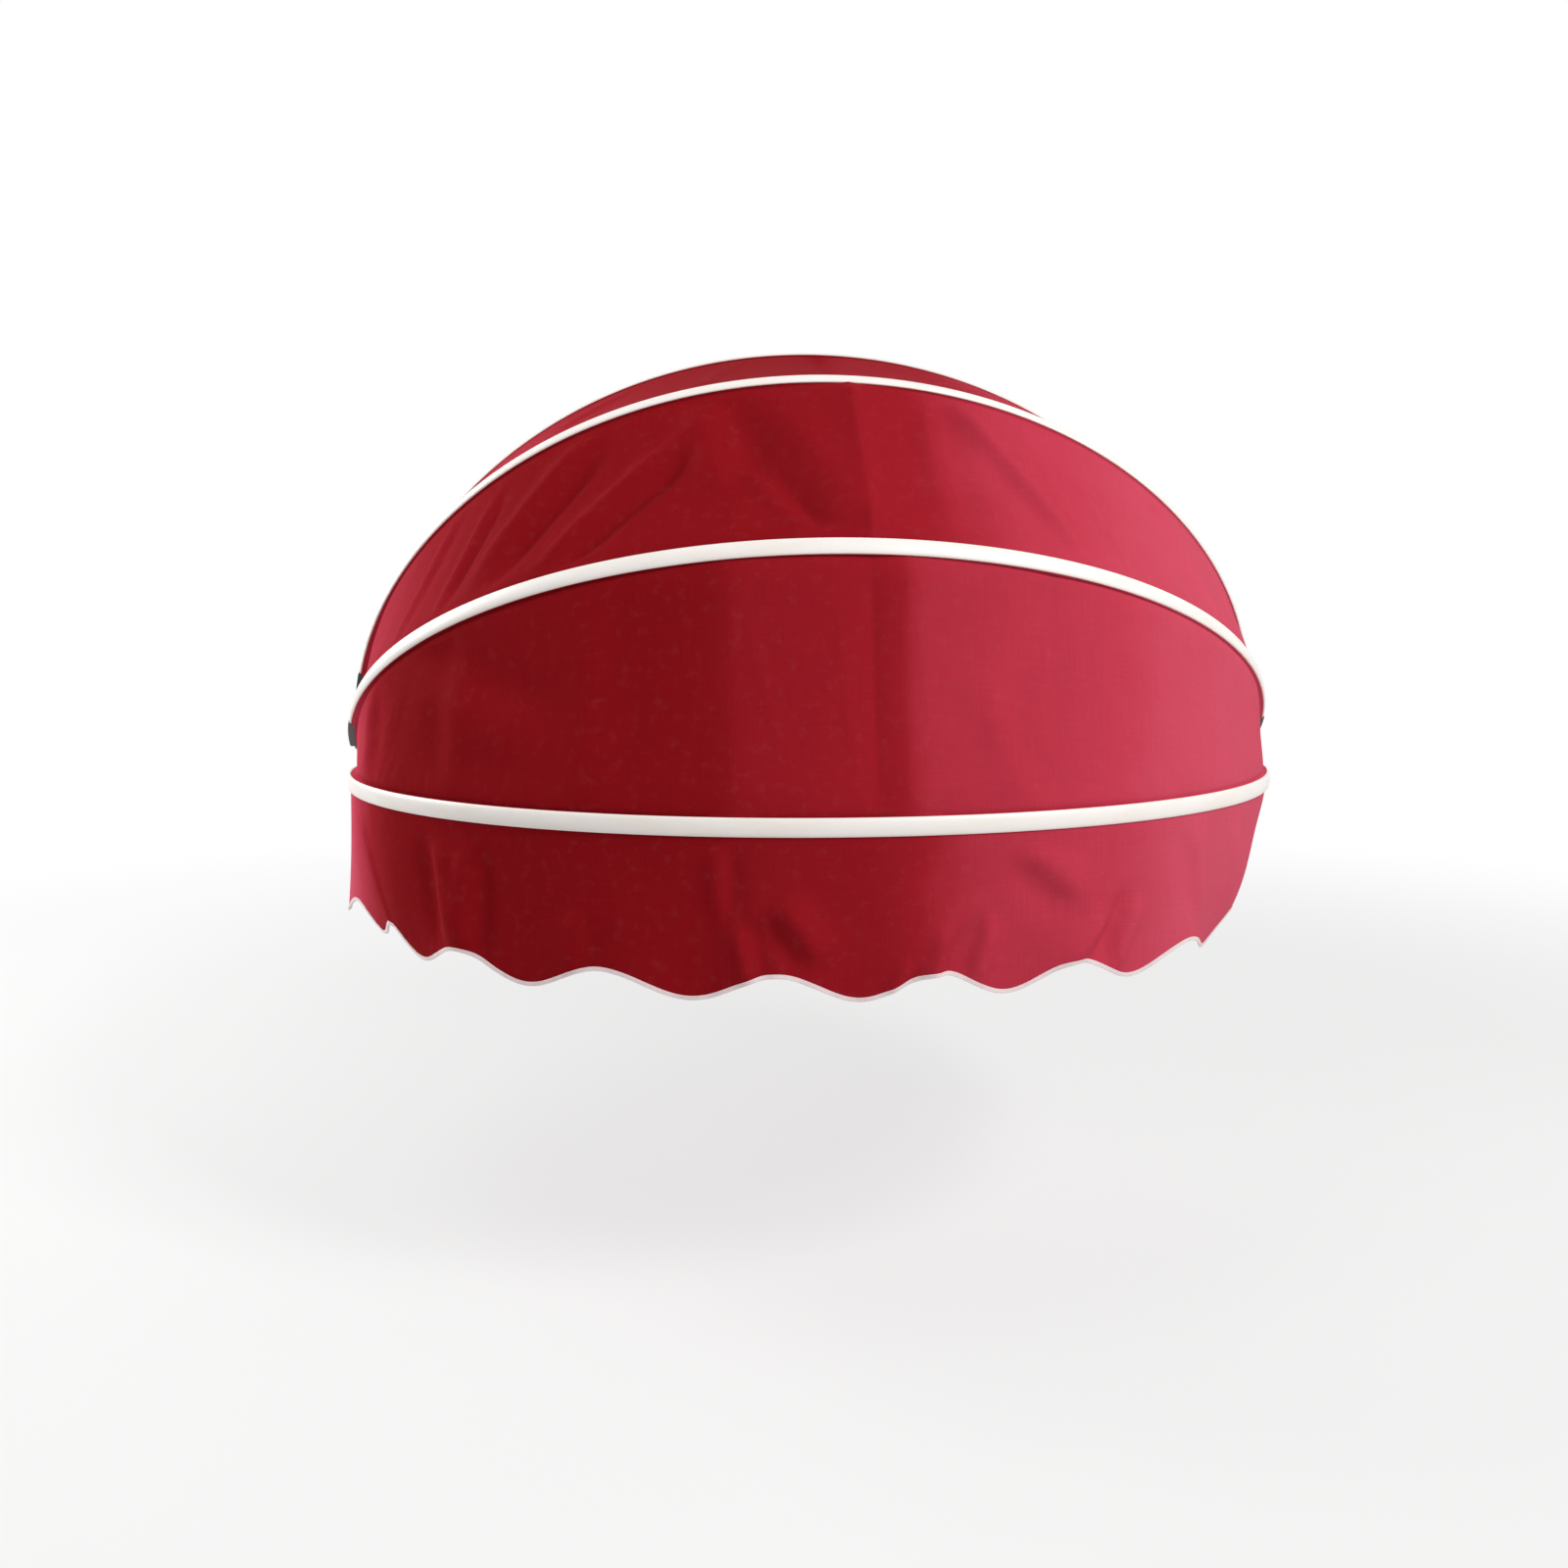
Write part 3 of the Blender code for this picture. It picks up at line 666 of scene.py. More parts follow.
def section_lay(hoop_arc, section):
    """Distance along a hoop and round its section, for each point of a loft."""
    steps = np.linalg.norm(np.diff(section, axis=0, append=section[:1]), axis=1)
    girth = np.concatenate([[0], np.cumsum(steps)[:-1]])
    along, round_it = np.meshgrid(hoop_arc, girth, indexing="ij")
    return np.stack([along, round_it], -1)


def mirrored(half):
    """A section from its right half, as (across, out)."""
    return np.array(half + [(-across, out) for across, out in reversed(half)])


def strip_section(dome):
    """The cover strip as (across, out): a dome with a rounded rim over a barbed stem."""
    turn = np.linspace(math.pi, 0, 25)
    crown = np.stack([STRIP_HALF * np.cos(turn), STRIP_EDGE + dome * np.sin(turn)], 1)
    rim = STRIP_HALF - BROKEN_EDGE
    half = [(rim, 0.0), (STEM_HALF, 0.0), (STEM_HALF, -BARB_TOP), (BARB_HALF, -BARB_TOP)]
    half += [(STEM_HALF, -STEM_DEPTH)]
    return np.concatenate([crown, mirrored(half)])


def profile_section():
    """The hoop's channel as (across, out), with its corners broken."""
    wall = PROFILE_HALF
    inside = wall - PROFILE_WALL
    lip = PROFILE_TOP + PROFILE_WALL
    half = [(wall, -PROFILE_FLOOR), (wall, -PROFILE_TOP), (SLOT_HALF, -PROFILE_TOP)]
    half += [(SLOT_HALF, -lip), (inside, -lip), (inside, -PROFILE_FLOOR + PROFILE_WALL)]
    corners = mirrored(half)
    before = np.roll(corners, 1, axis=0) - corners
    after = np.roll(corners, -1, axis=0) - corners
    cuts = [
        corners + way / np.linalg.norm(way, axis=1, keepdims=True) * BROKEN_EDGE
        for way in (before, after)
    ]
    return np.stack(cuts, 1).reshape(-1, 2)


def seat_depth(hoop, arc, wall):
    """How far the true curve stands off the CAD's straight segments where fittings sit."""
    stations = (arc / hoop.half + 1) / 2 * CAD_SEGMENTS
    depth = np.zeros_like(arc)
    chord = 2 * hoop.half / CAD_SEGMENTS
    places = RIVET_STATIONS + (CLIP_STATIONS if wall else ())
    for place in places:
        turn = np.interp(hoop.station(place), hoop.arc, hoop.turns)
        curve = math.hypot(HALF_SPAN * math.sin(turn), hoop.rise * math.cos(turn)) ** 3
        radius = curve / (HALF_SPAN * hoop.rise)
        part = place % 1
        stand = chord * chord * part * (1 - part) / (2 * radius)
        depth = np.maximum(depth, stand * np.exp(-((stations - place) / FITTING_REACH) ** 4))
    return depth


def build_strip(index, finish):
    """One cover strip along the true curve of its hoop, rounded at both ends."""
    sizes = settings("awning_fittings")
    hoop = Hoop(index)
    overrun = FRONT_STRIP_OVERRUN if index == FRONT else STRIP_OVERRUN
    first, last = hoop.station(1 - overrun), hoop.station(CAD_SEGMENTS - 1 + overrun)
    ends = np.array([0.0, 0.0001, 0.0003, 0.0007, 0.0012, STRIP_ROUND])
    inner = np.linspace(first + END_STEP, last - END_STEP, STRIP_STEPS)
    arc = np.concatenate([first + ends, inner, last - ends[::-1]])
    reach = np.clip(np.minimum(arc - first, last - arc) / STRIP_ROUND, 0, 1)
    round_off = np.sqrt(1 - (1 - reach) ** 2)[:, None]
    section = strip_section(sizes.dome)
    crown = section[:, 1] > 0
    across = section[:, 0] * (0.88 + 0.12 * round_off)
    out = section[:, 1] * np.where(crown, 0.65 + 0.35 * round_off, 1.0)
    profile_end = hoop.station(CAD_SEGMENTS - 1)
    stem_end = hoop.station(CAD_SEGMENTS - 1 + STEM_TAPER)
    past_profile = smooth(np.abs(arc), profile_end, stem_end)[:, None]
    shallow = np.where(crown, out, -STRIP_FLAT_STEM)
    out = out + (shallow - out) * past_profile
    rings = hoop.points(np.broadcast_to(arc[:, None], out.shape), out, across)
    lay = section_lay(arc, section)
    piece = add_tube(HOOPS[index] + "_strip_dressed", rings, lay, finish)
    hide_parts(HOOPS[index] + "_cover_strip")
    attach(piece, BODIES[index])


def build_profile(index, finish):
    """One bent channel along the true curve of its hoop."""
    hoop = Hoop(index)
    arc = np.linspace(hoop.station(1), hoop.station(CAD_SEGMENTS - 1), PROFILE_STEPS)
    section = profile_section()
    deeper = seat_depth(hoop, arc, wall=index == 0)
    low = (section[:, 1] < -PROFILE_FLOOR / 2)[None, :]
    out = section[:, 1] - np.where(low, deeper[:, None], 0.0)
    rings = hoop.points(np.broadcast_to(arc[:, None], out.shape), out, section[:, 0])
    piece = add_tube(HOOPS[index] + "_profile_dressed", rings, section_lay(arc, section), finish)
    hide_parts(HOOPS[index] + "_profile")
    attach(piece, BODIES[index])


def build_end_covers(finish):
    """Moulded covers over the end pieces of the three upper hoops, flush with their strips."""
    wide, wall, deep, top, inside = 0.0114, 0.0007, 0.008, 0.0046, 0.0015
    corner, bevel = 0.0011, 0.0004
    half = [(wide - wall, -inside), (wide - wall, -deep), (wide, -deep), (wide, top - corner)]
    half += [(wide - bevel, top - bevel), (wide - corner, top)]
    section = mirrored(half)
    ends = np.array([0.0, 0.0004, COVER_ROUND])
    for index in range(FRONT):
        hoop = Hoop(index)
        first = hoop.station(CAD_SEGMENTS - COVER_START)
        last = hoop.station(CAD_SEGMENTS - COVER_STOP)
        middle = np.linspace(first + 0.004, last - 0.004, COVER_STEPS)
        arc = np.concatenate([first + ends, middle, last - ends[::-1]])
        reach = np.clip(np.minimum(arc - first, last - arc) / COVER_ROUND, 0, 1)
        low = np.where(section[:, 1] > 0, 0.0009, 0.0) * (1 - reach[:, None])
        for side, sign in (("left", -1), ("right", 1)):
            places = np.broadcast_to(sign * arc[:, None], low.shape)
            rings = hoop.points(places, section[:, 1] - low, section[:, 0])
            if sign < 0:
                rings = rings[::-1]
            name = f"{HOOPS[index]}_end_cover_{side}"
            piece = add_tube(name, rings, section_lay(arc, section), finish)
            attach(piece, BODIES[index])


# Folds of each gore: start and end as (distance from the crown, share of the way down), then
# height, width and pleat: 0 for a ridge, 1 for a pleat that falls to the right, -1 for one that rises
GORE_FOLDS = {
    "gore_upper": [
        (-0.440, 0.48, -0.300, 0.15, 0.0020, 0.020, 0.5),
        (0.180, 0.20, 0.330, 0.85, 0.0016, 0.022, 0.6),
        (0.480, 0.10, 0.600, 0.80, 0.0018, 0.022, 0.6),
        (-0.120, 0.10, -0.190, 0.80, 0.0016, 0.020, 0.6),
        (-0.640, 0.20, -0.720, 0.90, 0.0018, 0.018, 0.6),
    ],
    "gore_middle": [
        (-0.503, 0.16, -0.600, 0.94, 0.0034, 0.014, 0.9),
        (-0.583, 0.10, -0.704, 0.94, 0.0022, 0.014, 0.8),
        (-0.345, 0.14, -0.520, 0.88, 0.0086, 0.030, 0.9),
        (-0.200, 0.32, -0.412, 1.00, 0.0080, 0.026, 0.9),
        (-0.168, 0.08, -0.140, 0.62, 0.0100, 0.040, 0.9),
        (-0.090, 0.10, 0.000, 0.95, 0.0064, 0.040, -0.8),
        (-0.114, 0.52, -0.036, 0.97, 0.0050, 0.020, 0.9),
        (0.148, 0.12, 0.157, 0.90, 0.0050, 0.028, 0.9),
        (0.183, 0.02, 0.348, 0.94, 0.0110, 0.022, 0.5),
        (0.379, 0.34, 0.436, 0.96, 0.0040, 0.016, 0.8),
        (0.528, 0.04, 0.650, 0.98, 0.0056, 0.015, 0.9),
        (0.690, 0.05, 0.760, 0.90, 0.0028, 0.014, 0.7),
    ],
    "gore_lower": [
        (0.190, 0.42, 0.230, 0.96, 0.0034, 0.030, 0.8),
        (0.569, 0.02, 0.592, 0.86, 0.0012, 0.006, -0.9),
        (0.430, 0.06, 0.438, 0.96, 0.0030, 0.034, 0.6),
        (-0.775, 0.12, -0.787, 0.96, 0.0030, 0.030, 0.9),
        (-0.652, 0.12, -0.393, 0.68, 0.0044, 0.044, 0.8),
        (-0.330, 0.05, -0.322, 0.96, 0.0034, 0.040, 0.5),
        (-0.560, 0.08, -0.566, 0.96, 0.0034, 0.036, -0.6),
        (0.730, 0.06, 0.752, 0.94, 0.0030, 0.020, 0.7),
    ],
}

# Sharp creases from packing: distance from the crown at the top and at the bottom, share of the
# crease height, and how far it spreads to each side. A minus makes it a valley
GORE_CREASES = {
    "gore_upper": [(0.012, 0.020, -0.70, 0.020)],
    "gore_middle": [(0.027, 0.033, 1.20, 0.040), (0.027, 0.033, 0.42, 0.011)],
    "gore_lower": [
        (-0.152, -0.150, 0.50, 0.070),
        (0.030, 0.031, -0.60, 0.034),
        (0.078, 0.070, 0.80, 0.060),
        (0.282, 0.279, -0.45, 0.040),
    ],
}

# Painted light on the cloth. First where the painted sheen at the left end stops and how pale it is there, then a
# painted shade step at each packing crease, paler past it: distance from the crown, how much it pales there, how
# soft it is
PAINTED_LIGHT = {
    "gore_upper": ((-0.08, 0.78), [(0.016, 0.08, 0.035), (0.30, 0.37, 0.16)]),
    "gore_middle": ((-0.41, 0.62), [(0.031, 0.11, 0.016), (0.16, 0.28, 0.10), (0.40, 0.02, 0.12)]),
    "gore_lower": ((-0.60, 0.90), [(-0.151, 0.14, 0.034), (0.075, 0.20, 0.030), (0.40, 0.07, 0.10)]),
    "valance": ((-0.60, 0.98), [(-0.160, 0.05, 0.006), (0.09, 0.32, 0.09), (0.40, 0.09, 0.10)]),
}


def fold_height(along, across, start, end, height, width, pleat):
    """Height of one soft fold over a sheet, given in metres along and across it."""
    way = np.array(end) - np.array(start)
    length = math.hypot(*way)
    step = ((along - start[0]) * way[0] + (across - start[1]) * way[1]) / length**2
    side = ((along - start[0]) * way[1] - (across - start[1]) * way[0]) / length / width
    side = side * math.copysign(1, way[1])
    fade = smooth(step, -0.18, 0.30) * (1 - smooth(step, 0.70, 1.18))
    shape = 1 - abs(pleat) - 1.6 * pleat * side
    return height * fade * shape * np.exp(-side * side)


def small_folds(name, along, across, width):
    """Many faint tension folds that run from hoop to hoop, alike in every run."""
    draw = np.random.default_rng(sum(ord(letter) for letter in name))
    total = np.zeros_like(along)
    for _ in range(SMALL_FOLDS):
        middle = draw.uniform(-0.98, 0.98)
        lean = draw.uniform(-0.05, 0.05) + middle * 0.10
        top, bottom = draw.uniform(-0.1, 0.35), draw.uniform(0.65, 1.1)
        high = draw.uniform(0.0001, 0.00042)
        wide = draw.uniform(0.006, 0.018)
        start = (middle - lean, top * width)
        end = (middle + lean, bottom * width)
        total += fold_height(along, across, start, end, high, wide, draw.uniform(-0.4, 0.4))
    return total


def gore_lift(name, along, across, down, arc, width):
    """Height of a gore's folds, which die out at the strips, and of its packing creases."""
    cloth = settings("awning_cloth")
    held = smooth(down, 0.0, 0.12) * (1 - smooth(down, 0.88, 1.0))
    folds = small_folds(name, along, across, width.max())
    for s0, f0, s1, f1, high, wide, pleat in GORE_FOLDS[name]:
        w0, w1 = np.interp([s0, s1], arc, width)
        folds = folds + fold_height(along, across, (s0, f0 * w0), (s1, f1 * w1), high, wide, pleat)
    lift = folds * cloth.fold * held
    for upper, lower, part, spread in GORE_CREASES[name]:
        line = upper + (lower - upper) * down
        sharp = np.exp(-np.sqrt((along - line) ** 2 + CREASE_BLUNT**2) / spread)
        lift = lift + cloth.crease * part * sharp * (0.35 + 0.65 * held)
    return lift


def gore_hem(hoop, turn, sign, covered=True):
    """Two rows of a gore inside a strip. At the hoop's ends they spread and sink clear of it."""
    spread = smooth(np.abs(turn), 0.880, 0.904)
    sunk = smooth(np.abs(turn), 0.902, 0.920)
    ends, sink = (HEM_ENDS_COVERED, HEM_SINK_COVERED) if covered else (HEM_ENDS_OPEN, HEM_SINK_OPEN)
    rows = [
        hoop.points(turn * hoop.half, -GAP - sink * sunk, sign * (row + (end - row) * spread))
        for row, end in zip(HEM_ROWS, ends)
    ]
    return np.stack(rows, 1)


def build_gore(index, finish):
    """One panel of the canopy, stretched between two hoops, with its sag and folds."""
    cloth = settings("awning_cloth")
    name = GORES[index]
    above, below = Hoop(index), Hoop(index + 1)
    turn = np.linspace(-1, 1, GORE_GRID[0])
    rows = np.linspace(0, 1, GORE_GRID[1])
    share_down = (1 - np.cos(math.pi * rows)) / 2 * 0.35 + rows * 0.65
    top = above.points(turn * above.half, -GAP, HEM_OUTER)
    low = below.points(turn * below.half, -GAP, -HEM_OUTER)
    sheet = top[:, None] + (low - top)[:, None] * share_down[None, :, None]
    width = np.linalg.norm(low - top, axis=1)
    arc = turn * (above.half + below.half) / 2
    along = np.broadcast_to(arc[:, None], sheet.shape[:2])
    across = width[:, None] * share_down[None, :]
    down = np.broadcast_to(share_down[None, :], along.shape)
    full = width.max()

    lift = -cloth.sag * 4 * down * (1 - down) * (width[:, None] / full) ** 1.2
    near_strip = np.minimum(across, width[:, None] - across)
    end = smooth(np.abs(turn), 0.70, 0.97)[:, None]
    lift = lift - cloth.dip * np.exp(-near_strip / DIP_WIDTH) - END_SLACK * end
    lift = lift + gore_lift(name, along, across, down, arc, width)
    sheet = sheet + normals(sheet) * lift[..., None]

    first = gore_hem(above, turn, 1)
    last = gore_hem(below, turn, -1, covered=index < len(GORES) - 1)[:, ::-1]
    sheet = np.concatenate([first, sheet, last], 1)
    hem_lay = np.broadcast_to(np.array(HEM_ROWS) - HEM_OUTER, (len(turn), 2))
    across = np.concatenate([hem_lay, across, width[:, None] - hem_lay[:, ::-1]], 1)
    along = np.broadcast_to(arc[:, None], across.shape)
    inner = sheet - normals(sheet) * cloth.thickness
    piece = add_shell(name + "_dressed", sheet, inner, np.stack([along, across], -1), finish)
    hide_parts(name)

    start, end = AXIS + above.along * 0.5, AXIS + below.along * 0.5
    tuple(start)
    tuple(end)
    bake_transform(piece)
    part = np.concatenate([[0.0, 0.0], share_down, [1.0, 1.0]])
    weights = np.broadcast_to(part[None, :], across.shape).reshape(-1)
    weights = np.concatenate([weights, weights]).astype(np.float32)

    hems = 2 * (HEM_OUTER - HEM_INNER)
    flat = (float(arc[-1] - arc[0]), float(full + hems))


# Folds of the valance: start and end as (distance from the crown, distance down), then height,
# width and pleat, as for the gores
VALANCE_FOLDS = [
    (-0.836, 0.020, -0.742, 0.195, 0.0034, 0.012, -0.7),
    (-0.596, 0.040, -0.567, 0.180, 0.0066, 0.028, -0.9),
    (-0.508, 0.045, -0.519, 0.185, 0.0063, 0.026, 0.9),
    (-0.340, 0.120, -0.350, 0.190, 0.0036, 0.025, 0.7),
    (-0.160, 0.010, -0.159, 0.110, 0.0036, 0.016, 0.9),
    (-0.136, 0.120, -0.118, 0.195, 0.0045, 0.016, 0.9),
    (-0.100, 0.100, -0.050, 0.170, 0.0069, 0.026, -0.9),
    (0.050, 0.210, 0.072, 0.170, 0.0036, 0.011, 0.9),
    (0.103, 0.200, 0.123, 0.125, 0.0060, 0.016, 0.9),
    (0.141, 0.195, 0.170, 0.120, 0.0069, 0.017, -0.9),
    (0.280, 0.195, 0.350, 0.135, 0.0054, 0.017, 0.9),
    (0.345, 0.195, 0.392, 0.110, 0.0078, 0.019, -0.9),
    (0.212, 0.040, 0.299, 0.112, 0.0054, 0.028, -0.9),
    (0.505, 0.025, 0.523, 0.160, 0.0051, 0.022, -0.9),
    (0.660, 0.030, 0.680, 0.170, 0.0045, 0.022, 0.8),
]


class Valance:
    """The hanging border, read by distance along the front hoop and distance down."""

    def __init__(self):
        self.sizes = settings("awning_valance")
        self.hoop = Hoop(FRONT)
        self.thickness = settings("awning_cloth").thickness

    def phase(self, arc):
        """Where in its scallop a place is: 0 at a scallop's tip."""
        drift = self.sizes.drift * np.cos(2 * math.pi * (arc + 0.08)) - 0.006
        return 2 * math.pi * (arc - drift) / self.sizes.pitch

    def edge(self, arc):
        """How far down the free edge is."""
        return self.sizes.drop + self.sizes.wave * np.cos(self.phase(arc))

    def bulge(self, arc, down):
        """How far the cloth stands off its straight hang."""
        free = smooth(down, 0.012, 0.190)
        swing = np.sin(2 * math.pi * arc / LONG_WAVE + 0.6)
        swing = swing + 0.6 * np.sin(2 * math.pi * arc / SHORT_WAVE)
        total = self.sizes.sway * free * swing * 0.55
        for s0, d0, s1, d1, high, wide, pleat in VALANCE_FOLDS:
            fold = fold_height(arc, down, (s0, d0), (s1, d1), high, wide, pleat)
            total = total + VALANCE_FOLD * fold * smooth(down, 0.010, 0.060)
        # Drawn in at both sides, most at the free edge, curled at the right and let out at the left end
        low = np.clip(down, 0, 1) / VALANCE_LENGTH
        right = self.sizes.lean * smooth(arc, 0.36, 0.92) * low**1.3
        left = self.sizes.lean * (smooth(-arc, 0.46, 0.84) - 1.25 * smooth(-arc, 0.84, 1.03))
        curl = 0.45 * self.sizes.lean * smooth(arc, 0.50, 0.80) * low**3.5
        drawn = right + 0.55 * left * low**2.4 + curl
        flutes = self.sizes.flute * (0.4 - np.cos(self.phase(arc))) * free * smooth(arc, -1.1, 0.1)
        return total - drawn + flutes

    def points(self, arc, down, out):
        """Points of the cloth's outer face, and points out from it."""
        return self.hoop.points(arc, out - GAP + self.bulge(arc, down), down)


def build_valance(valance, finish):
    """The cloth of the valance, with its end hems."""
    arc = np.linspace(-valance.hoop.half, valance.hoop.half, VALANCE_GRID[0])
    steps = np.linspace(0, 1, VALANCE_GRID[1])
    down = HEM_INNER + (valance.edge(arc)[:, None] - HEM_INNER) * steps[None, :]
    arc = np.broadcast_to(arc[:, None], down.shape)
    from_end = valance.hoop.half - np.abs(arc)
    hem = END_HEM_FOLD * (1 - smooth(from_end, END_HEM_WIDTH - 0.001, END_HEM_WIDTH + 0.001))
    outer = valance.points(arc, down, hem)
    inner = valance.points(arc, down, -valance.thickness - hem)
    piece = add_shell("valance_dressed", outer, inner, np.stack([arc, down], -1), finish)
    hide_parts("valance")
    return piece


def edge_frame(valance, count):
    """Distances along the free edge, its points and its direction up into the cloth."""
    arc = np.linspace(-valance.hoop.half, valance.hoop.half, count)
    down = valance.edge(arc)
    slope = np.gradient(down, arc)
    tall = np.hypot(1, slope)
    return distance_run(arc, down), arc, down, slope / tall, -1 / tall


def build_binding(valance, finish):
    """The tape folded over the scalloped edge."""
    sizes = valance.sizes
    run, arc, down, up_arc, up_down = edge_frame(valance, VALANCE_GRID[0])
    tape, height, cloth = sizes.tape, sizes.binding, valance.thickness
    middle = -cloth / 2
    half = cloth / 2 + GAP + tape
    full, hollow = half * 1.08, cloth / 2 + GAP / 2
    turn_in, floor = 0.0009, 0.0001
    section = [(height, middle + half), (height / 2, middle + full)]
    for turn in np.linspace(0, math.pi, 9):
        section.append((-turn_in * math.sin(turn), middle + half * math.cos(turn)))
    section += [(height / 2, middle - full), (height, middle - half)]
    section += [(height, middle - hollow), (-floor, middle - hollow)]
    section += [(-floor, middle + hollow), (height, middle + hollow)]
    section = np.array(section)
    rise, out = section[None, :, 0], section[None, :, 1]
    at_arc = arc[:, None] + rise * up_arc[:, None]
    at_arc = np.clip(at_arc, -valance.hoop.half, valance.hoop.half)
    at_down = down[:, None] + rise * up_down[:, None]
    rings = valance.points(at_arc, at_down, np.broadcast_to(out, at_arc.shape))
    lay = section_lay(run, section)
    piece = add_tube("valance_binding_dressed", rings, lay, finish)
    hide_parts("valance_binding")
    return piece


def add_stitches(name, starts, ends, facings, finish):
    """Short round stitches, each from one point to another on the cloth."""
    sides = 6
    profile = [(0.0, 0.25), (0.16, 0.9), (0.84, 0.9), (1.0, 0.25)]
    way = ends - starts
    length = np.linalg.norm(way, axis=1, keepdims=True)
    way = way / length
    side = np.cross(way, facings)
    side = side / np.linalg.norm(side, axis=1, keepdims=True)
    up = np.cross(side, way)
    points = []
    for place, size in profile:
        for step in range(sides):
            turn = 2 * math.pi * step / sides
            ring = side * math.cos(turn) + up * math.sin(turn) * 0.8
            points.append(starts + way * length * place + ring * STITCH_RADIUS * size)
    points = np.stack(points, 1)
    each = grid_faces(len(profile), sides, closed=True)
    each += [tuple(reversed(range(sides))), tuple(range(sides * 3, sides * 4))]
    bases = range(0, points.shape[0] * points.shape[1], points.shape[1])
    faces = [tuple(base + corner for corner in face) for base in bases for face in each]
    return add_mesh(name, points.reshape(-1, 3), faces, None, finish, angle=80.0)


def stitch_line(valance, arc, down, out, sign):
    """Starts, ends and facings of stitches along a line on one face of the cloth."""
    stitch = valance.sizes.stitch
    run = distance_run(arc, down)
    begin = np.arange(STITCH_INSET, run[-1] - stitch - STITCH_INSET, stitch + STITCH_GAP)

    def at(place, extra):
        arc_there, down_there = np.interp(place, run, arc), np.interp(place, run, down)
        return valance.points(arc_there, down_there, out + extra)

    starts, ends = at(begin, 0.0), at(begin + stitch, 0.0)
    facings = (at(begin, 0.001) - starts) * sign
    return starts, ends, facings


def build_stitching(valance, finish):
    """The seams that hold the binding and the end hems."""
    sizes = valance.sizes
    _, arc, down, up_arc, up_down = edge_frame(valance, SEAM_STEPS)
    inset = sizes.binding * 0.72
    face = GAP + sizes.tape * 1.05
    line_arc, line_down = arc + inset * up_arc, down + inset * up_down
    lines = [
        stitch_line(valance, line_arc, line_down, face, 1),
        stitch_line(valance, line_arc, line_down, -valance.thickness - face, -1),
    ]
    for end in (-1, 1):
        place = end * (valance.hoop.half - END_SEAM)
        low = valance.edge(place) - END_SEAM_CLEAR
        drop = np.linspace(END_SEAM_TOP, low, END_SEAM_STEPS)
        place, off = np.full_like(drop, place), END_HEM_FOLD + 0.0001
        lines.append(stitch_line(valance, place, drop, off, 1))
        lines.append(stitch_line(valance, place, drop, -valance.thickness - off, -1))
    starts, ends, facings = (np.concatenate(parts) for parts in zip(*lines))
    piece = add_stitches("valance_stitching", starts, ends, facings, finish)
    return piece


# Operators


class AWNING_OT_strips(bpy.types.Operator):
    """Makes the four white cover strips"""

    bl_idname = "awning.strips"
    bl_label = "Make cover strips"

    def execute(self, context):
        finish = strip_finish("extruded_white_strip", context.scene.awning_fittings.strip)
        for index in range(len(HOOPS)):
            build_strip(index, finish)
        return {"FINISHED"}


class AWNING_OT_profiles(bpy.types.Operator):
    """Makes the four bent aluminium profiles"""

    bl_idname = "awning.profiles"
    bl_label = "Make hoop profiles"

    def execute(self, context):
        finish = aluminium_finish("drawn_aluminium", context.scene.awning_fittings.aluminium)
        for index in range(len(HOOPS)):
            build_profile(index, finish)
        return {"FINISHED"}


class AWNING_OT_canopy(bpy.types.Operator):
    """Makes the three canvas gores of the canopy"""

    bl_idname = "awning.canopy"
    bl_label = "Make canopy"

    def execute(self, context):
        cloth = context.scene.awning_cloth
        for index, name in enumerate(GORES):
            build_gore(index, canvas_finish(name + "_canvas", cloth, *PAINTED_LIGHT[name]))
        return {"FINISHED"}


class AWNING_OT_valance(bpy.types.Operator):
    """Makes the scalloped valance with its binding and seams"""

    bl_idname = "awning.valance"
    bl_label = "Make valance"

    def execute(self, context):
        cloth, sizes = context.scene.awning_cloth, context.scene.awning_valance
        valance = Valance()
        canvas = canvas_finish("valance_canvas", cloth, *PAINTED_LIGHT["valance"])
        border = build_valance(valance, canvas)
        tape = build_binding(valance, tape_finish("binding_tape", sizes.tape_colour))
        seams = build_stitching(valance, thread_finish("sewing_thread", sizes.thread_colour))
        for piece in (border, tape, seams):
            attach(piece, "front_hoop")
            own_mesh(piece)
        area = 2 * valance.hoop.half * (sizes.drop - HEM_INNER)
        return {"FINISHED"}


class AWNING_OT_fittings(bpy.types.Operator):
    """Finishes the end pieces, brackets, clips and fasteners of the frame"""

    bl_idname = "awning.fittings"
    bl_label = "Finish fittings"

    def execute(self, context):
        sizes = context.scene.awning_fittings
        grey = (0.10, 0.09, 0.085)
        finishes = {
            "black_nylon": moulded_finish("moulded_black_nylon", sizes.nylon, grey),
            "white_nylon": moulded_finish("moulded_white_nylon", sizes.spacer, (0.5, 0.46, 0.4)),
            "white_powder_coat": coat_finish("powder_coated_steel", sizes.coat),
            "zinc_plated_steel": zinc_finish("bright_zinc_plate", sizes.zinc),
        }
        build_end_covers(finishes["black_nylon"])
        slots = {part["node"]: part["material_slot"] for part in frame["record"]["subparts"]}
        for name, node in frame["nodes"].items():
            finish = finishes.get(slots[name])
            if finish is None:
                continue
            for slot in node.material_slots:
                slot.material = finish
            weld = node.modifiers.new("weld", "WELD")
            weld.merge_threshold = WELD_REACH
            bevel = node.modifiers.new("rounded_edges", "BEVEL")
            bevel.width = sizes.bevel
            bevel.segments = 2
            bevel.limit_method = "ANGLE"
            bevel.angle_limit = SHARP_EDGE
            bevel.harden_normals = True
        return {"FINISHED"}


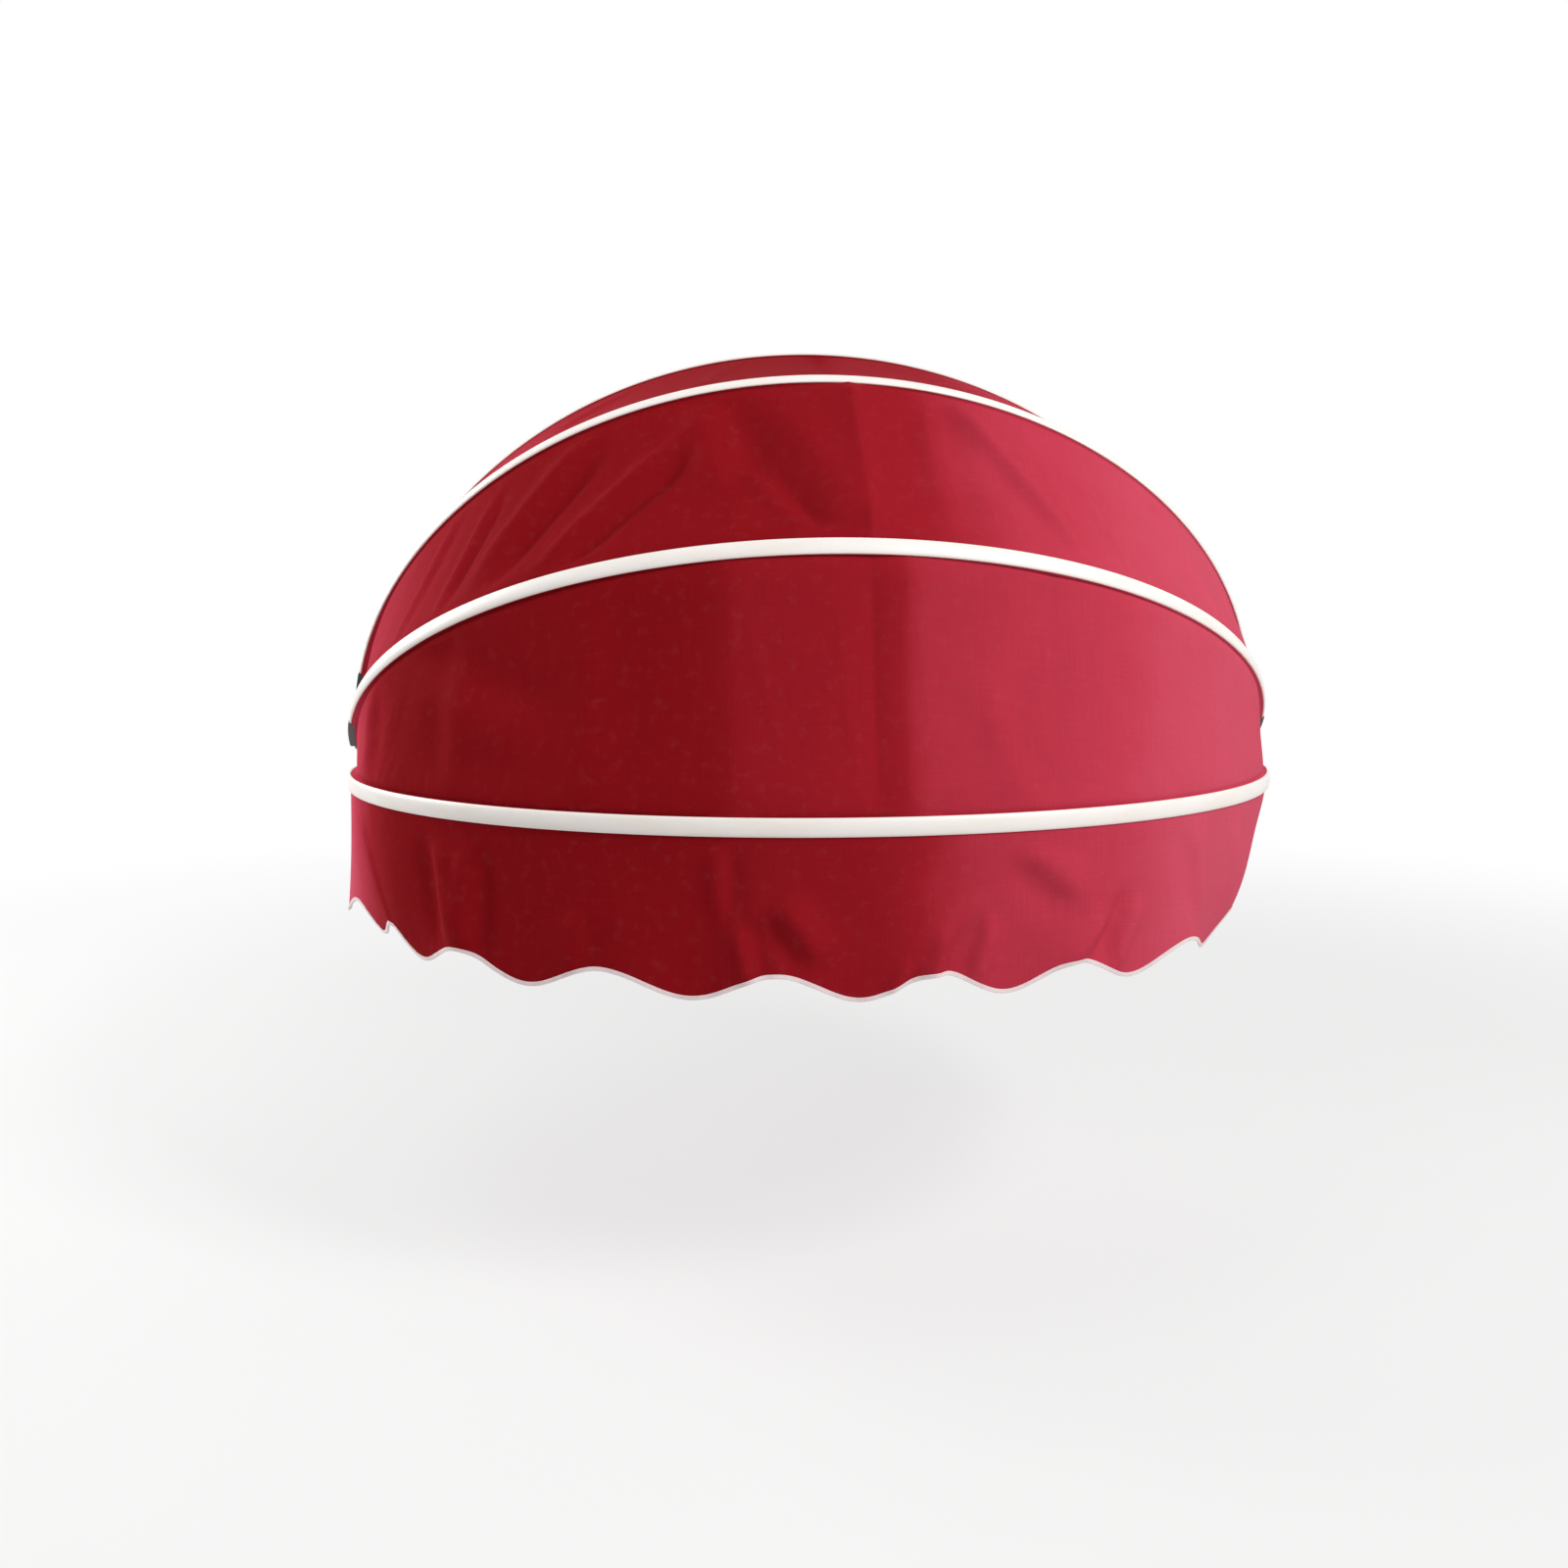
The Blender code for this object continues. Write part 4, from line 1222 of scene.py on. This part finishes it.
def add_lamp(name, power, size, place, target):
    """A soft square lamp that faces a point."""
    lamp = bpy.data.lights.new(name, "AREA")
    lamp.energy = power
    lamp.shape = "SQUARE"
    lamp.size = size
    made = bpy.data.objects.new(name, lamp)
    bpy.context.scene.collection.objects.link(made)
    made.location = place
    aim = made.location - type(made.location)(target)
    made.rotation_euler = aim.to_track_quat("Z", "Y").to_euler()


def sees_background(make):
    """1 for the rays that show the background: camera, glossy and transmission rays."""
    camera, glossy, through = (make.node("ShaderNodeLightPath", output=ray) for ray in (0, 3, 6))
    return camera.maximum(glossy).maximum(through)


def light_world(ambient):
    """Even light from all round, and a white background."""
    world = bpy.data.worlds.new("studio")
    bpy.context.scene.world = world
    make = Tree(world)
    light = make.node("ShaderNodeBackground", None, {"Color": (1, 1, 1, 1), "Strength": ambient})
    white = make.node("ShaderNodeBackground", None, {"Color": (1, 1, 1, 1), "Strength": 1.0})
    mixed = make.node("ShaderNodeMixShader", None, {0: sees_background(make), 1: light, 2: white})
    make.node("ShaderNodeOutputWorld", None, {"Surface": mixed})


def floor_finish(base):
    """A pale floor that runs out into the white background."""
    make = Finish("studio_floor")
    place = make.on_object()
    span = make.node("ShaderNodeVectorMath", {"operation": "LENGTH"}, {0: place}, output=1)
    far = make.remap(span, *FLOOR_FADE, 0.0, 1.0)
    grain = make.noise(place, 3.0, 3.0)
    body = make.mix(grain, base, tinted(base, 0.97))
    values = {"Base Color": body, "Roughness": 0.85}
    plain = make.node("ShaderNodeBsdfPrincipled", None, values)
    glow = make.node("ShaderNodeEmission", None, {"Color": (1, 1, 1, 1), "Strength": 1.0})
    factor = (0.62 + far * 0.38) * sees_background(make)
    mixed = make.node("ShaderNodeMixShader", None, {0: factor, 1: plain, 2: glow})
    make.node("ShaderNodeOutputMaterial", None, {"Surface": mixed})
    return make.material


class AWNING_OT_stage(bpy.types.Operator):
    """Sets up the floor, the lamps, the background and the camera"""

    bl_idname = "awning.stage"
    bl_label = "Set up stage"

    def execute(self, context):
        stage = context.scene.awning_stage
        turn = np.linspace(0, 2 * math.pi, 97)[:-1]
        ring = np.stack([np.cos(turn), np.sin(turn), np.zeros_like(turn)], 1) * FLOOR_RADIUS
        face = tuple(range(len(turn)))
        floor = add_mesh("studio_floor", ring, [face], None, floor_finish(stage.floor))
        floor.location = (0, -0.35, -stage.floor_drop)
        floor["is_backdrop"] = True
        for name, (power, size, place, target) in LAMPS.items():
            add_lamp(name, getattr(stage, power), size, place, target)
        light_world(stage.ambient)

        context.scene.view_settings.view_transform = "Standard"
        lens = bpy.data.cameras.new("camera")
        lens.lens = stage.lens
        lens.sensor_width = 36.0
        lens.shift_x = (PICTURE / 2 - OPTICAL_CENTRE[0]) / PICTURE
        lens.shift_y = (OPTICAL_CENTRE[1] - PICTURE / 2) / PICTURE
        lens.clip_end = 100.0
        camera = bpy.data.objects.new("camera", lens)
        context.scene.collection.objects.link(camera)
        camera.location = CAMERA_PLACE
        camera.rotation_euler = (math.radians(CAMERA_TILT), 0.0, math.radians(CAMERA_PAN))
        context.scene.camera = camera
        return {"FINISHED"}


class VIEW3D_PT_awning(bpy.types.Panel):
    """Lists the steps that dress the awning, with their sizes and colours"""

    bl_label = "Dome awning"
    bl_space_type = "VIEW_3D"
    bl_region_type = "UI"
    bl_category = "Awning"

    def draw(self, context):
        for step in STEPS:
            self.layout.operator(step.bl_idname)
        for name, group in GROUPS.items():
            box = self.layout.box()
            box.label(text=group.__name__)
            for key in group.__annotations__:
                box.prop(getattr(context.scene, name), key)


STEPS = (
    AWNING_OT_strips,
    AWNING_OT_profiles,
    AWNING_OT_canopy,
    AWNING_OT_valance,
    AWNING_OT_fittings,
    AWNING_OT_stage,
)
GROUPS = {
    "awning_cloth": AwningCloth,
    "awning_valance": AwningValance,
    "awning_fittings": AwningFittings,
    "awning_stage": AwningStage,
}


def register():
    """Adds the operators, the panel and the scene's settings."""
    for group in (*GROUPS.values(), *STEPS, VIEW3D_PT_awning):
        bpy.utils.register_class(group)
    for name, group in GROUPS.items():
        setattr(bpy.types.Scene, name, bpy.props.PointerProperty(type=group))


def unregister():
    """Takes them away again."""
    for name in GROUPS:
        delattr(bpy.types.Scene, name)
    for group in (VIEW3D_PT_awning, *reversed(STEPS), *reversed(GROUPS.values())):
        bpy.utils.unregister_class(group)


def main():
    """Dresses the awning."""
    register()
    bpy.ops.awning.strips()
    bpy.ops.awning.profiles()
    bpy.ops.awning.canopy()
    bpy.ops.awning.valance()
    bpy.ops.awning.fittings()
    bpy.ops.awning.stage()
    boxes = [[list(corner) for corner in box] for box in (CAD_BOX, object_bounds())]


if __name__ == "__main__":
    main()
